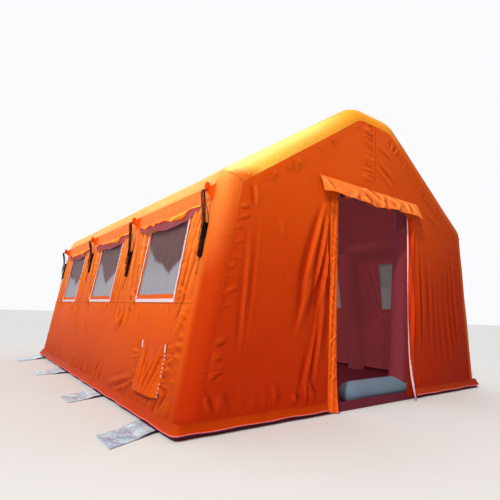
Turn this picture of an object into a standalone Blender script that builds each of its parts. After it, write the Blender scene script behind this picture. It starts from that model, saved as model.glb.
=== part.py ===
"""Inflatable shelter tent: an air-beam frame under a skin of coated cloth.

Metres, +Z up. X runs across the tent and Y along it, with the door end at -Y. The origin lies
on the ground under the middle of the floor.
"""

import math

import bmesh
import bpy
import numpy as np
from mathutils import Matrix, Vector

# Outside of the cloth, seen from the door end
FLOOR_HALF_WIDTH = 2.0
EAVE_HALF_WIDTH = 1.71
EAVE_HEIGHT = 1.93
RIDGE_HALF_WIDTH = 0.28
RIDGE_HEIGHT = 2.93

# Air frame
ARCHES = 4
BAY_LENGTH = 1.73
BEAM_RADIUS = 0.125
TIE_BEAM_RADIUS = 0.1
LEAST_INNER_SIDE = 0.0045

# Sheets and clearances
CLOTH = 0.004
GROUND_CLOTH = 0.004
NET = 0.003
SKIN_GAP = 0.003
FIT = 0.0003
HEM_HEIGHT = 0.035
ROOF_SEAM_DROP = 0.05
SEAM_LAP = 0.02

# Doorway in the front gable
DOOR_WIDTH = 1.06
DOOR_HEIGHT = 1.94
SILL_HEIGHT = 0.085

# Air posts beside the doorway, which lean apart towards the roof
POST_RADIUS = 0.1
POST_FOOT = 0.545
POST_SPREAD = 0.1
POST_SPREAD_HEIGHT = 1.75

# Air beam on the floor behind the sill, from the right leg to past the middle of the doorway
SILL_BEAM_RADIUS = 0.11
SILL_BEAM_START = -0.3

# Storm strips beside the doorway
LEFT_STRIP_WIDTH = 0.09
RIGHT_STRIP_WIDTH = 0.125
STRIP_TOP = 1.9
STRIP_FOOT = 0.012
STRIP_THICKNESS = 0.003
STRIP_GAP = 0.006
LEFT_STRIP_FLARE = 0.045
RIGHT_STRIP_FLARE = 0.1
LEFT_STRIP_FOLD = 0.006
RIGHT_STRIP_FOLD = 0.016

# Hood over the doorway, and the rolled curtain under it
HOOD_WIDTH = 1.47
HOOD_OFFSET = -0.035
HOOD_TOP = 2.09
HOOD_REACH = 0.085
HOOD_DROP = 0.17
CURTAIN_RADIUS = 0.026
CURTAIN_HEIGHT = 1.95
CURTAIN_LENGTH = 1.0

# Windows, with heights measured up the cloth
WINDOW_WIDTH = 0.82
WINDOW_BOTTOM = 0.985
WINDOW_TOP = 1.6
WINDOW_SHIFT = -0.09
NET_MARGIN = 0.03

# Window covers, hitched up to the guy tabs so that they bag over the window's top edge
COVER_LENGTH = 1.38
COVER_DEPTH = 0.085
COVER_HEIGHT = 0.11
COVER_TIE_UP = 1.69
COVER_SAG = 0.06

# Service port low on the left wall, and the flap that hangs over it
PORT_CENTRE = 0.675
PORT_WIDTH = 0.3
PORT_BOTTOM = 0.27
PORT_TOP = 0.53
FLAP_WIDTH = 0.49
FLAP_BOTTOM = 0.195
FLAP_TOP = 0.6
FLAP_STAND_OFF = 0.045

# Valves on the front arch's left leg
VALVE_HEIGHT = 0.42
RELIEF_HEIGHT = 0.62
VALVE_RADIUS = 0.036
VALVE_SEAT = 0.105
VALVE_BASE = 0.026
NECK_RADIUS = 0.022
NECK_LENGTH = 0.02
VALVE_BORE = 0.014
CAP_WALL = 0.004

# Ground skirt round the tent's foot
SKIRT_TOP = 0.1
SKIRT_REACH = 0.035
SKIRT_THICKNESS = 0.003

# Anchor flaps, one beside each arch foot: offset along the tent from the arch, sideways drift of
# the loose end, and reach from the hinge line
ANCHOR_WIDTH = 0.32
ANCHOR_THICKNESS = 0.004
ANCHOR_PLACES = ((0.27, -0.17, 0.35), (-0.09, -0.12, 0.31), (-0.2, -0.02, 0.32), (-0.24, -0.24, 0.36))
ANCHOR_ROOT_HEIGHT = 0.02
ANCHOR_ROOT_CLEARANCE = 0.002
ANCHOR_EYELET = 0.012
ANCHOR_EYELET_INSET = 0.06

# Guy tabs: upright fins under the eaves, one at each arch, offset along the tent from it
TAB_OFFSETS = (0, -0.09, -0.11, -0.04)
TAB_TOP = 1.845
TAB_BOTTOM = 1.705
TAB_TIP = 1.765
TAB_LENGTH = 0.08
TAB_TIP_RADIUS = 0.016
TAB_EYELET = 0.006

# Guy lines, put away as hanks on the left wall
CORD_DIAMETER = 0.0045
CORD_GAP = 0.0011
HANK_TURNS = 6
HANK_LAYERS = 4
HANK_RUN = 0.23
HANK_INNER_RADIUS = 0.0138
HANK_WAIST = 0.15
HANK_TOPS = (1.53, 1.46, 1.6, 1.58)
TAIL_LENGTH = 0.14

# How finely round things are faceted, and how near points are welded
BEAM_SIDES = 16
ROLL_SIDES = 8
CORD_SIDES = 6
WELD = 1e-5

FRAME_INSET = CLOTH + SKIN_GAP + BEAM_RADIUS
WALL_LEAN = math.atan2(FLOOR_HALF_WIDTH - EAVE_HALF_WIDTH, EAVE_HEIGHT)
WALL_LENGTH = math.hypot(FLOOR_HALF_WIDTH - EAVE_HALF_WIDTH, EAVE_HEIGHT)
ROOF_PITCH = math.atan2(RIDGE_HEIGHT - EAVE_HEIGHT, EAVE_HALF_WIDTH - RIDGE_HALF_WIDTH)
SHARPEST_BEND = max(ROOF_PITCH, math.pi / 2 - WALL_LEAN - ROOF_PITCH)

# Corners are cut far enough that an arch's tube doesn't cross itself on the inside
INNER_LOSS = (FRAME_INSET + BEAM_RADIUS) * math.tan(SHARPEST_BEND / 4)
CORNER_CUT = (INNER_LOSS + LEAST_INNER_SIDE / 2) / math.cos(SHARPEST_BEND / 2)
ROOF_SEAM = WALL_LENGTH - CORNER_CUT - ROOF_SEAM_DROP
HALF_LENGTH = BAY_LENGTH * (ARCHES - 1) / 2 + FRAME_INSET
DOOR_LEFT = -DOOR_WIDTH / 2
DOOR_RIGHT = DOOR_WIDTH / 2
SIDES = {"left": -1, "right": 1}


# Measuring out the tent


def arch_y(index):
    """Where an arch stands along the tent, counted from the door end."""
    return (index - (ARCHES - 1) / 2) * BAY_LENGTH


def bay_y(index):
    """The middle of a bay, counted from the door end."""
    return arch_y(index) + BAY_LENGTH / 2


def window_y(index):
    """The middle of a bay's window."""
    return bay_y(index) + WINDOW_SHIFT


def outer_outline():
    """The cloth's outer face as ten (x, z) corners, left foot first, with each bend cut in two."""
    left = [
        Vector((-FLOOR_HALF_WIDTH, 0)),
        Vector((-EAVE_HALF_WIDTH, EAVE_HEIGHT)),
        Vector((-RIDGE_HALF_WIDTH, RIDGE_HEIGHT)),
        Vector((0, RIDGE_HEIGHT)),
    ]
    half = [left[0]]
    for before, corner, after in zip(left, left[1:], left[2:]):
        half.append(corner + (before - corner).normalized() * CORNER_CUT)
        half.append(corner + (after - corner).normalized() * CORNER_CUT)
    return half + [Vector((-p.x, p.y)) for p in reversed(half)]


def section(inward, foot):
    """The tent's outline moved this far inside the cloth's outer face, with its feet at a height."""
    outline = outer_outline()
    sides = [(b - a).normalized() for a, b in zip(outline, outline[1:])]
    inner = [Vector((side.y, -side.x)) for side in sides]
    moved = [
        corner + (first + second) * (inward / (1 + first.dot(second)))
        for corner, first, second in zip(outline[1:-1], inner, inner[1:])
    ]
    start = outline[0] + inner[0] * inward
    start += sides[0] * ((foot - start.y) / sides[0].y)
    return [start, *moved, Vector((-start.x, start.y))]


def roof_height(across, inward):
    """Height of a section's rafter at this distance from the middle."""
    points = section(inward, 0)
    low, high = points[2], points[3]
    share = (-abs(across) - low.x) / (high.x - low.x)
    return low.y + (high.y - low.y) * share


def leg_x(height, inward):
    """Distance of the side wall from the middle at a height, this far inside its outer face."""
    foot = section(inward, height)[0]
    return -foot.x


def wall_frame(side):
    """A side wall's own axes: X along the tent, Y up the cloth, Z out of it."""
    up = Vector((-side * math.sin(WALL_LEAN), 0, math.cos(WALL_LEAN)))
    out = Vector((side * math.cos(WALL_LEAN), 0, math.sin(WALL_LEAN)))
    axes = Matrix((up.cross(out), up, out)).transposed().to_4x4()
    return Matrix.Translation((side * FLOOR_HALF_WIDTH, 0, 0)) @ axes


def on_wall(side, y, up, out):
    """World point at a place on a side wall."""
    return wall_frame(side) @ Vector((side * y, up, out))


def gable_frame(y):
    """Axes of a sheet that stands across the tent: X across, Y up, Z towards the door end."""
    return Matrix.Translation((0, y, 0)) @ Matrix.Rotation(math.pi / 2, 4, "X")


# Shaping tools


def new_material(name, colour, roughness, metallic=0.0):
    material = bpy.data.materials.new(name)
    material.use_nodes = True
    shader = material.node_tree.nodes["Principled BSDF"]
    shader.inputs["Base Color"].default_value = (*colour, 1)
    shader.inputs["Roughness"].default_value = roughness
    shader.inputs["Metallic"].default_value = metallic
    return material


def place(obj, collection, material=None):
    collection.objects.link(obj)
    if material:
        obj.data.materials.append(material)
    return obj


def as_mesh(obj):
    """The object as the viewport evaluates it, as a welded mesh object in its place."""
    bpy.context.view_layer.update()
    graph = bpy.context.evaluated_depsgraph_get()
    data = bpy.data.meshes.new_from_object(obj.evaluated_get(graph))
    form = bmesh.new()
    form.from_mesh(data)
    bmesh.ops.remove_doubles(form, verts=form.verts, dist=WELD)
    form.to_mesh(data)
    form.free()
    name, matrix, home = obj.name, obj.matrix_world.copy(), obj.users_collection[0]
    bpy.data.objects.remove(obj)
    made = bpy.data.objects.new(name, data)
    made.matrix_world = matrix
    home.objects.link(made)
    return made


def flat_panel(name, outlines, thickness, matrix, collection, material):
    """A sheet with straight or round edges: the first outline is its edge, the others are holes."""
    curve = bpy.data.curves.new(name, "CURVE")
    curve.dimensions = "2D"
    curve.fill_mode = "BOTH"
    curve.extrude = thickness / 2
    for outline in outlines:
        spline = curve.splines.new("POLY")
        spline.points.add(len(outline) - 1)
        for point, (x, y) in zip(spline.points, outline):
            point.co = (x, y, 0, 1)
        spline.use_cyclic_u = True
    panel = place(bpy.data.objects.new(name, curve), collection, material)
    panel.matrix_world = matrix
    return panel


def tube(name, points, radius, sides, collection, material, swell=None):
    """A round tube along points; swell scales its radius at each of them."""
    curve = bpy.data.curves.new(name, "CURVE")
    curve.dimensions = "3D"
    curve.bevel_depth = radius
    curve.bevel_resolution = round(sides / 2) - 2
    curve.use_fill_caps = True
    spline = curve.splines.new("POLY")
    spline.points.add(len(points) - 1)
    for i, (point, co) in enumerate(zip(spline.points, points)):
        point.co = (*co, 1)
        point.radius = swell[i] if swell else 1
    return place(bpy.data.objects.new(name, curve), collection, material)


def cylinder(name, start, end, radius, sides, collection, material=None):
    """A primitive cylinder between two points."""
    axis = end - start
    bpy.ops.mesh.primitive_cylinder_add(vertices=sides, radius=radius, depth=axis.length)
    obj = bpy.context.active_object
    obj.name = name
    for home in list(obj.users_collection):
        home.objects.unlink(obj)
    turn = axis.to_track_quat("Z", "Y").to_matrix().to_4x4()
    obj.matrix_world = Matrix.Translation((start + end) / 2) @ turn
    return place(obj, collection, material)


def sheet(name, rows, thickness, collection, material):
    """Cloth through rows of points, thickened behind the face that they describe."""
    form = bmesh.new()
    grid = [[form.verts.new(point) for point in row] for row in rows]
    for lower, upper in zip(grid, grid[1:]):
        for a, b, c, d in zip(lower, lower[1:], upper[1:], upper):
            form.faces.new((a, b, c, d))
    data = bpy.data.meshes.new(name)
    form.to_mesh(data)
    form.free()
    obj = place(bpy.data.objects.new(name, data), collection, material)
    solid = obj.modifiers.new("Thickness", "SOLIDIFY")
    solid.thickness = thickness
    solid.offset = -1
    solid.use_even_offset = True
    return obj


def loft(name, rings, collection, material):
    """A closed skin through rings of points that run alike, with flat ends."""
    form = bmesh.new()
    loops = [[form.verts.new(point) for point in ring] for ring in rings]
    for first, second in zip(loops, loops[1:]):
        for i, corner in enumerate(first):
            form.faces.new((first[i - 1], corner, second[i], second[i - 1]))
    form.faces.new(loops[0])
    form.faces.new(reversed(loops[-1]))
    bmesh.ops.recalc_face_normals(form, faces=form.faces)
    data = bpy.data.meshes.new(name)
    form.to_mesh(data)
    form.free()
    return place(bpy.data.objects.new(name, data), collection, material)


def turned(name, profile, matrix, collection, material, steps=24):
    """A closed turned shape: (radius, height) pairs run down its outer side from the axis."""
    form = bmesh.new()
    verts = [form.verts.new((radius, 0, height)) for radius, height in profile]
    for a, b in zip(verts, verts[1:]):
        form.edges.new((a, b))
    data = bpy.data.meshes.new(name)
    form.to_mesh(data)
    form.free()
    obj = place(bpy.data.objects.new(name, data), collection, material)
    obj.matrix_world = matrix
    screw = obj.modifiers.new("Turn", "SCREW")
    screw.steps = steps
    screw.render_steps = steps
    screw.use_merge_vertices = True
    screw.merge_threshold = WELD
    return obj


def combine(obj, other, operation):
    """Boolean on obj, with the other piece kept as a hidden helper."""
    step = obj.modifiers.new(operation.title(), "BOOLEAN")
    step.operation = operation
    step.solver = "EXACT"
    step.object = other
    other.hide_render = True
    other.display_type = "WIRE"


def smooth(obj):
    """Soft shading on a round mesh, with its real edges kept."""
    obj.data.shade_smooth()
    obj.data.set_sharp_from_angle(angle=math.radians(40))


# Air frame


def arch_tube(name, y, radius, collection, material=None):
    path = [(p.x, y, p.y) for p in section(FRAME_INSET, -BEAM_RADIUS)]
    return as_mesh(tube(name, path, radius, BEAM_SIDES, collection, material))


def stand_on_floor(obj):
    """Cuts a tube's feet flat where they stand on the groundsheet."""
    form = bmesh.new()
    form.from_mesh(obj.data)
    form.transform(obj.matrix_world)
    obj.matrix_world = Matrix()
    everything = list(form.verts) + list(form.edges) + list(form.faces)
    level = Vector((0, 0, GROUND_CLOTH + FIT))
    cut = bmesh.ops.bisect_plane(
        form, geom=everything, plane_co=level, plane_no=(0, 0, 1), clear_inner=True
    )
    edges = [item for item in cut["geom_cut"] if isinstance(item, bmesh.types.BMEdge)]
    bmesh.ops.holes_fill(form, edges=edges)
    bmesh.ops.recalc_face_normals(form, faces=form.faces)
    form.to_mesh(obj.data)
    form.free()


def tie_beam_places():
    """Where the tie beams cross an arch, as (x, z): both eaves and the ridge."""
    points = section(FRAME_INSET, 0)
    eave = (points[1] + points[2]) / 2
    return [eave, Vector((0, points[4].y)), Vector((-eave.x, eave.y))]


def air_frame(parts, helpers, material):
    """Four arches; each of the first three carries the tie beams of the bay behind it."""
    names = ["air_frame_front", "air_frame_second", "air_frame_third", "air_frame_rear"]
    for index, name in enumerate(names):
        arch = arch_tube(name, arch_y(index), BEAM_RADIUS, parts, material)
        stand_on_floor(arch)
        if index < ARCHES - 1:
            for number, spot in enumerate(tie_beam_places()):
                inside = BEAM_RADIUS / 3
                near = Vector((spot.x, arch_y(index) + inside, spot.y))
                ends = near, near + Vector((0, BAY_LENGTH - 2 * inside, 0))
                beam = cylinder(f"{name}_tie_{number}", *ends, TIE_BEAM_RADIUS, 16, helpers)
                combine(arch, beam, "UNION")
            saddle = arch_tube(f"{name}_saddle", arch_y(index + 1), BEAM_RADIUS + FIT, helpers)
            combine(arch, saddle, "DIFFERENCE")
        smooth(arch)
    cut_valve_seats(bpy.data.objects[names[0]], helpers)


def sill_beam_path():
    """The floor beam's middle line from its round left end to the right leg, with its swell."""
    y, z = arch_y(0), GROUND_CLOTH + FIT + SILL_BEAM_RADIUS
    path, swell = [], []
    for degrees in (12, 35, 60, 90):
        angle = math.radians(degrees)
        path.append((SILL_BEAM_START + SILL_BEAM_RADIUS * (1 - math.cos(angle)), y, z))
        swell.append(math.sin(angle))
    path.append((leg_x(z, FRAME_INSET), y, z))
    return path, swell + [1]


def post_axis(side):
    """Foot and head of a door post, on the front arch's middle plane."""
    lean = POST_SPREAD / POST_SPREAD_HEIGHT
    foot = Vector((side * POST_FOOT, arch_y(0), 0))
    height = roof_height(POST_FOOT + lean * EAVE_HEIGHT, FRAME_INSET)
    return foot, foot + Vector((side * lean * height, 0, height))


def door_posts(parts, helpers, material):
    """An air post on each side of the doorway; the right one stands on the sill beam."""
    arch = arch_tube("post_saddle", arch_y(0), BEAM_RADIUS + FIT, helpers)
    path, swell = sill_beam_path()
    beam = as_mesh(tube("sill_beam", path, SILL_BEAM_RADIUS, BEAM_SIDES, parts, material, swell))
    grown = [1 + FIT / SILL_BEAM_RADIUS] * len(path)
    saddle = as_mesh(tube("beam_saddle", path, SILL_BEAM_RADIUS, BEAM_SIDES, helpers, None, grown))
    combine(beam, arch, "DIFFERENCE")
    smooth(beam)
    for name, side in SIDES.items():
        foot, head = post_axis(side)
        sunk = foot - (head - foot).normalized() * POST_RADIUS
        start = sunk if name == "left" else foot.lerp(head, SILL_BEAM_RADIUS / head.z)
        post = cylinder(f"door_post_{name}", start, head, POST_RADIUS, 16, parts, material)
        if name == "left":
            stand_on_floor(post)
        else:
            combine(post, saddle, "DIFFERENCE")
        combine(post, arch, "DIFFERENCE")
        smooth(post)


# Valves


def valve_frame(height):
    """Axes of a valve on the front arch's left leg, with Z pointing to the rear of the tent."""
    middle = Vector((-leg_x(height, FRAME_INSET), arch_y(0) + VALVE_SEAT, height))
    return Matrix.Translation(middle) @ Matrix.Rotation(-math.pi / 2, 4, "X")


def cut_valve_seats(arch, helpers):
    for height in (VALVE_HEIGHT, RELIEF_HEIGHT):
        middle = valve_frame(height).translation
        end = middle + Vector((0, BEAM_RADIUS, 0))
        seat = cylinder(f"valve_seat_{height}", middle, end, VALVE_RADIUS + FIT, 24, helpers)
        combine(arch, seat, "DIFFERENCE")


def valves(parts, plastic, cap_plastic):
    top = VALVE_BASE + NECK_LENGTH
    floor = VALVE_BASE / 2
    body = [
        (0, floor),
        (VALVE_BORE, floor),
        (VALVE_BORE, top),
        (NECK_RADIUS, top),
        (NECK_RADIUS, VALVE_BASE),
        (VALVE_RADIUS, VALVE_BASE),
        (VALVE_RADIUS, FIT),
        (0, FIT),
    ]
    smooth(turned("inlet_valve", body, valve_frame(VALVE_HEIGHT), parts, plastic))
    inner = NECK_RADIUS + FIT
    outer = inner + CAP_WALL
    low = VALVE_BASE + FIT
    cap = [
        (0, top + FIT + CAP_WALL),
        (outer - 0.002, top + FIT + CAP_WALL),
        (outer, top + FIT + CAP_WALL - 0.002),
        (outer, low),
        (inner, low),
        (inner, top + FIT),
        (0, top + FIT),
    ]
    smooth(turned("inlet_valve_cap", cap, valve_frame(VALVE_HEIGHT), parts, cap_plastic))
    relief = [
        (0, VALVE_BASE + 0.012),
        (VALVE_RADIUS * 0.55, VALVE_BASE + 0.01),
        (VALVE_RADIUS * 0.8, VALVE_BASE + 0.002),
        (VALVE_RADIUS * 0.8, VALVE_BASE - 0.004),
        (VALVE_RADIUS, VALVE_BASE - 0.004),
        (VALVE_RADIUS, FIT),
        (0, FIT),
    ]
    smooth(turned("relief_valve", relief, valve_frame(RELIEF_HEIGHT), parts, plastic))


# Skin


def roof(parts, material):
    """One sheet from seam to seam, over both eaves and the flat ridge."""
    low = ROOF_SEAM + FIT
    rim = []
    for inward in (0, CLOTH):
        ends = [on_wall(side, 0, low, -inward) for side in (-1, 1)]
        middle = section(inward, 0)[1:-1]
        line = [(ends[0].x, ends[0].z), *[(p.x, p.y) for p in middle], (ends[1].x, ends[1].z)]
        rim += line if inward == 0 else line[::-1]
    length = BAY_LENGTH * (ARCHES - 1) - 2 * (SEAM_LAP + FIT)
    flat_panel("roof_panel", [rim], length, gable_frame(0), parts, material)


def rectangle(left, bottom, right, top):
    return [(left, bottom), (right, bottom), (right, top), (left, top)]


def side_walls(parts, material):
    """Each side wall is one sheet with three window holes; the left one has the service port too."""
    half = BAY_LENGTH * (ARCHES - 1) / 2 - SEAM_LAP - FIT
    hem = HEM_HEIGHT / math.cos(WALL_LEAN)
    for name, side in SIDES.items():
        outlines = [rectangle(-half, hem, half, ROOF_SEAM)]
        for bay in range(ARCHES - 1):
            middle = side * window_y(bay)
            edges = middle - WINDOW_WIDTH / 2, middle + WINDOW_WIDTH / 2
            outlines.append(rectangle(edges[0], WINDOW_BOTTOM, edges[1], WINDOW_TOP))
        if name == "left":
            middle = side * (PORT_CENTRE - HALF_LENGTH)
            edges = middle - PORT_WIDTH / 2, middle + PORT_WIDTH / 2
            outlines.append(rectangle(edges[0], PORT_BOTTOM, edges[1], PORT_TOP))
        matrix = wall_frame(side) @ Matrix.Translation((0, 0, -CLOTH / 2))
        flat_panel(f"side_wall_{name}", outlines, CLOTH, matrix, parts, material)


def corner_sleeves(parts, material):
    """Cloth that wraps the end arches from the side walls and roof round to the gables."""
    steps = 6
    for name, index, way in (("front", 0, -1), ("rear", ARCHES - 1, 1)):
        turns = [math.pi / 2 * i / steps for i in range(steps + 1)]
        bend = [(FRAME_INSET * (1 - math.cos(a)), FRAME_INSET * math.sin(a)) for a in turns]
        rows = []
        for inward, out in [(0, -SEAM_LAP), *bend, (FRAME_INSET + SEAM_LAP, FRAME_INSET)]:
            y = arch_y(index) + way * out
            rows.append([(p.x, y, p.y) for p in section(inward, HEM_HEIGHT)])
        if way == -1:
            rows.reverse()
        smooth(sheet(f"corner_sleeve_{name}", rows, CLOTH, parts, material))


def gables(parts, material):
    """Flat end walls inside the sleeves; the front one is notched for the doorway."""
    edge = section(FRAME_INSET + SEAM_LAP + FIT, HEM_HEIGHT)
    outline = [(p.x, p.y) for p in edge]
    doorway = [
        (DOOR_RIGHT, HEM_HEIGHT),
        (DOOR_RIGHT, DOOR_HEIGHT),
        (DOOR_LEFT, DOOR_HEIGHT),
        (DOOR_LEFT, HEM_HEIGHT),
    ]
    inner = HALF_LENGTH - CLOTH / 2
    flat_panel("gable_front", [outline + doorway], CLOTH, gable_frame(-inner), parts, material)
    flat_panel("gable_rear", [outline], CLOTH, gable_frame(inner), parts, material)


def foot_ring(out_x, out_y, z):
    """Corners of a rectangle round the tent's foot, open at the doorway."""
    x, y = FLOOR_HALF_WIDTH + out_x, HALF_LENGTH + out_y
    return [
        (DOOR_LEFT - LEFT_STRIP_WIDTH - STRIP_GAP, -y, z),
        (-x, -y, z),
        (-x, y, z),
        (x, y, z),
        (x, -y, z),
        (DOOR_RIGHT + RIGHT_STRIP_WIDTH + STRIP_GAP, -y, z),
    ]


def ground_skirt(parts, material):
    """Flared hem outside the walls' foot, open at the doorway."""
    hug = SKIRT_THICKNESS + FIT
    rows = []
    for share, reach in ((0, 0), (0.45, 0.12), (0.8, 0.5), (1, 1)):
        z = SKIRT_TOP + (HEM_HEIGHT - SKIRT_TOP) * share
        lean = z * math.tan(WALL_LEAN)
        out_x = (hug / math.cos(WALL_LEAN) - lean) * (1 - reach) + SKIRT_REACH * reach
        out_y = hug * (1 - reach) + SKIRT_REACH * reach
        rows.append(foot_ring(out_x, out_y, z))
    sheet("ground_skirt", rows, SKIRT_THICKNESS, parts, material)


def groundsheet(parts, material):
    """Floor with a low upstand under the walls, raised to a sill in the doorway."""
    form = bmesh.new()
    bmesh.ops.create_grid(form, x_segments=1, y_segments=1, size=1)
    bmesh.ops.scale(form, verts=form.verts, vec=(FLOOR_HALF_WIDTH, HALF_LENGTH, 1))
    for x in (DOOR_LEFT + FIT, DOOR_RIGHT - FIT):
        geometry = list(form.verts) + list(form.edges) + list(form.faces)
        bmesh.ops.bisect_plane(form, geom=geometry, plane_co=(x, 0, 0), plane_no=(1, 0, 0))
    rim = [edge for edge in form.edges if edge.is_boundary]
    raised = bmesh.ops.extrude_edge_only(form, edges=rim)["geom"]
    height = HEM_HEIGHT - FIT
    inner_x = FLOOR_HALF_WIDTH - height * math.tan(WALL_LEAN)
    for vert in [item for item in raised if isinstance(item, bmesh.types.BMVert)]:
        vert.co.z = height
        if abs(vert.co.x) > FLOOR_HALF_WIDTH - FIT:
            vert.co.x = math.copysign(inner_x, vert.co.x)
    sill = [
        edge
        for edge in form.edges
        if all(v.co.z > FIT and v.co.y < 0 and abs(v.co.x) < DOOR_WIDTH / 2 for v in edge.verts)
    ]
    lip = bmesh.ops.extrude_edge_only(form, edges=sill)["geom"]
    rise = Vector((0, 0, SILL_HEIGHT - height))
    bmesh.ops.translate(form, verts=[v for v in lip if isinstance(v, bmesh.types.BMVert)], vec=rise)
    bmesh.ops.recalc_face_normals(form, faces=form.faces)
    if form.faces[0].normal.z > 0:
        bmesh.ops.reverse_faces(form, faces=form.faces)
    data = bpy.data.meshes.new("groundsheet")
    form.to_mesh(data)
    form.free()
    obj = place(bpy.data.objects.new("groundsheet", data), parts, material)
    solid = obj.modifiers.new("Thickness", "SOLIDIFY")
    solid.thickness = GROUND_CLOTH
    solid.offset = -1
    solid.use_even_offset = True
    return obj


# Windows


def windows(parts, net, cloth):
    """Three a side: a net sewn behind each hole, and its cover hitched up above it."""
    for name, side in SIDES.items():
        for bay in range(ARCHES - 1):
            middle = window_y(bay)
            half = WINDOW_WIDTH / 2 + NET_MARGIN
            low, high = WINDOW_BOTTOM - NET_MARGIN, WINDOW_TOP + NET_MARGIN
            outline = rectangle(side * middle - half, low, side * middle + half, high)
            matrix = wall_frame(side) @ Matrix.Translation((0, 0, -CLOTH - FIT - NET / 2))
            flat_panel(f"window_net_{name}_{bay + 1}", [outline], NET, matrix, parts, net)
            window_cover(f"window_cover_{name}_{bay + 1}", side, bay_y(bay), parts, cloth)


def window_cover(name, side, middle, parts, material):
    """A slack bag of folded cloth: flat on the wall, full in the middle and drawn up at its ties."""
    bag = [(0, -0.46), (0.42, -0.62), (0.86, -0.42), (1, 0.02), (0.8, 0.36), (0.4, 0.5), (0, 0.52)]
    steps = 12
    rings = []
    for i in range(steps + 1):
        share = i / steps
        bow = math.sin(math.pi * share)
        full = 0.16 + 0.84 * bow**0.6 + 0.07 * math.sin(5 * math.pi * share)
        up = COVER_TIE_UP - COVER_SAG * bow + 0.012 * math.sin(3 * math.pi * share)
        y = middle + (share - 0.5) * COVER_LENGTH
        ring = []
        for out, high in bag:
            ring.append(on_wall(side, y, up + high * COVER_HEIGHT * full, FIT + out * COVER_DEPTH * full))
        rings.append(ring)
    smooth(loft(name, rings, parts, material))


# Doorway


def hood_rows(columns=12):
    """The hood's outer face: sewn to the gable along its top, with a slack lower edge."""
    rows = []
    for share in (0, 0.3, 0.65, 1):
        row = []
        for i in range(columns + 1):
            across = i / columns
            waves = 0.007 * math.sin(3.2 * math.pi * across) + 0.004 * math.sin(7.1 * math.pi * across)
            slack = share * waves
            x = HOOD_OFFSET + (across - 0.5) * HOOD_WIDTH * (1 + 0.02 * share)
            y = -HALF_LENGTH - CLOTH - FIT - HOOD_REACH * share**0.8 - slack
            row.append((x, y, HOOD_TOP - HOOD_DROP * share + 1.4 * slack))
        rows.append(row)
    return rows


def storm_strip(name, hinge_x, edge_x, flare, depth, folds, parts, material):
    """A strip of cloth beside the doorway, sewn along its outer line and loose at its free edge."""
    levels, columns = 12, 6
    rows = []
    for i in range(levels + 1):
        down = 1 - i / levels
        z = STRIP_FOOT + (STRIP_TOP - STRIP_FOOT) * i / levels
        row = []
        for j in range(columns + 1):
            out = j / columns
            wave = math.sin(2 * math.pi * (folds * out + 1.7 * down)) * math.sin(math.pi * out)
            proud = STRIP_THICKNESS + FIT + depth * (min(1, 4 * out) + wave) + flare * down**2 * out**1.5
            row.append((hinge_x + (edge_x - hinge_x) * out, -HALF_LENGTH - proud, z))
        rows.append(row if edge_x > hinge_x else row[::-1])
    sheet(name, rows, STRIP_THICKNESS, parts, material)


def doorway(parts, material):
    sheet("door_hood", hood_rows()[::-1], CLOTH, parts, material)
    steps = 10
    path, swell = [], []
    for i in range(steps + 1):
        share = i / steps
        swell.append(0.92 + 0.08 * math.cos(4 * math.pi * share))
        x = (share - 0.5) * CURTAIN_LENGTH
        path.append((x, -HALF_LENGTH - FIT - CURTAIN_RADIUS, CURTAIN_HEIGHT))
    tube("door_curtain_roll", path, CURTAIN_RADIUS, ROLL_SIDES, parts, material, swell)
    left = DOOR_LEFT - LEFT_STRIP_WIDTH
    right = DOOR_RIGHT + RIGHT_STRIP_WIDTH
    left_cloth = LEFT_STRIP_FLARE, LEFT_STRIP_FOLD, 1.5
    right_cloth = RIGHT_STRIP_FLARE, RIGHT_STRIP_FOLD, 1
    storm_strip("storm_strip_left", left, DOOR_LEFT, *left_cloth, parts, material)
    storm_strip("storm_strip_right", right, DOOR_RIGHT, *right_cloth, parts, material)


# Flaps and tabs


def service_flap(parts, material):
    """A flap that hangs over the service port from its top seam and stands off at its foot."""
    levels, columns = 6, 6
    rows = []
    for i in range(levels + 1):
        down = 1 - i / levels
        up = FLAP_TOP + (FLAP_BOTTOM - FLAP_TOP) * down
        row = []
        for j in range(columns + 1):
            across = j / columns
            pucker = 0.004 * down * abs(math.sin(3 * math.pi * across))
            billow = FLAP_STAND_OFF * down**1.5 * math.sin(math.pi * across) ** 0.4
            out = STRIP_THICKNESS + FIT + pucker + billow
            y = -HALF_LENGTH + PORT_CENTRE + (0.5 - across) * FLAP_WIDTH
            row.append(on_wall(-1, y, up, out))
        rows.append(row)
    sheet("service_flap", rows, STRIP_THICKNESS, parts, material)


def anchor_hinge_x():
    """Distance from the middle at which the anchor flaps fold, just clear of the ground skirt."""
    return FLOOR_HALF_WIDTH + SKIRT_REACH + ANCHOR_ROOT_CLEARANCE


def anchor_edges(side, index, reach):
    """The long edges of a flap at this distance from its hinge line; those on the left lie askew."""
    offset, drift, full_reach = ANCHOR_PLACES[index]
    y = arch_y(index) + offset + (drift * reach / full_reach if side == -1 else 0)
    return y - ANCHOR_WIDTH / 2, y + ANCHOR_WIDTH / 2


def anchor_flap(name, side, index, parts, material):
    """A ground flap that slopes down from its root and lies flat on the ground."""
    low = ANCHOR_THICKNESS + FIT
    reach = ANCHOR_PLACES[index][2]
    profile = [
        (FIT, ANCHOR_ROOT_HEIGHT),
        (0.03, ANCHOR_ROOT_HEIGHT - 0.001),
        (0.07, 0.6 * ANCHOR_ROOT_HEIGHT + 0.4 * low),
        (0.11, 0.15 * ANCHOR_ROOT_HEIGHT + 0.85 * low),
        (0.145, low),
        (reach, low),
    ]
    rows = []
    for edge in (0, 1):
        row = []
        for out, z in profile:
            row.append((side * (anchor_hinge_x() + out), anchor_edges(side, index, out)[edge], z))
        rows.append(row)
    if side == -1:
        rows.reverse()
    return sheet(name, rows, ANCHOR_THICKNESS, parts, material)


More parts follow.
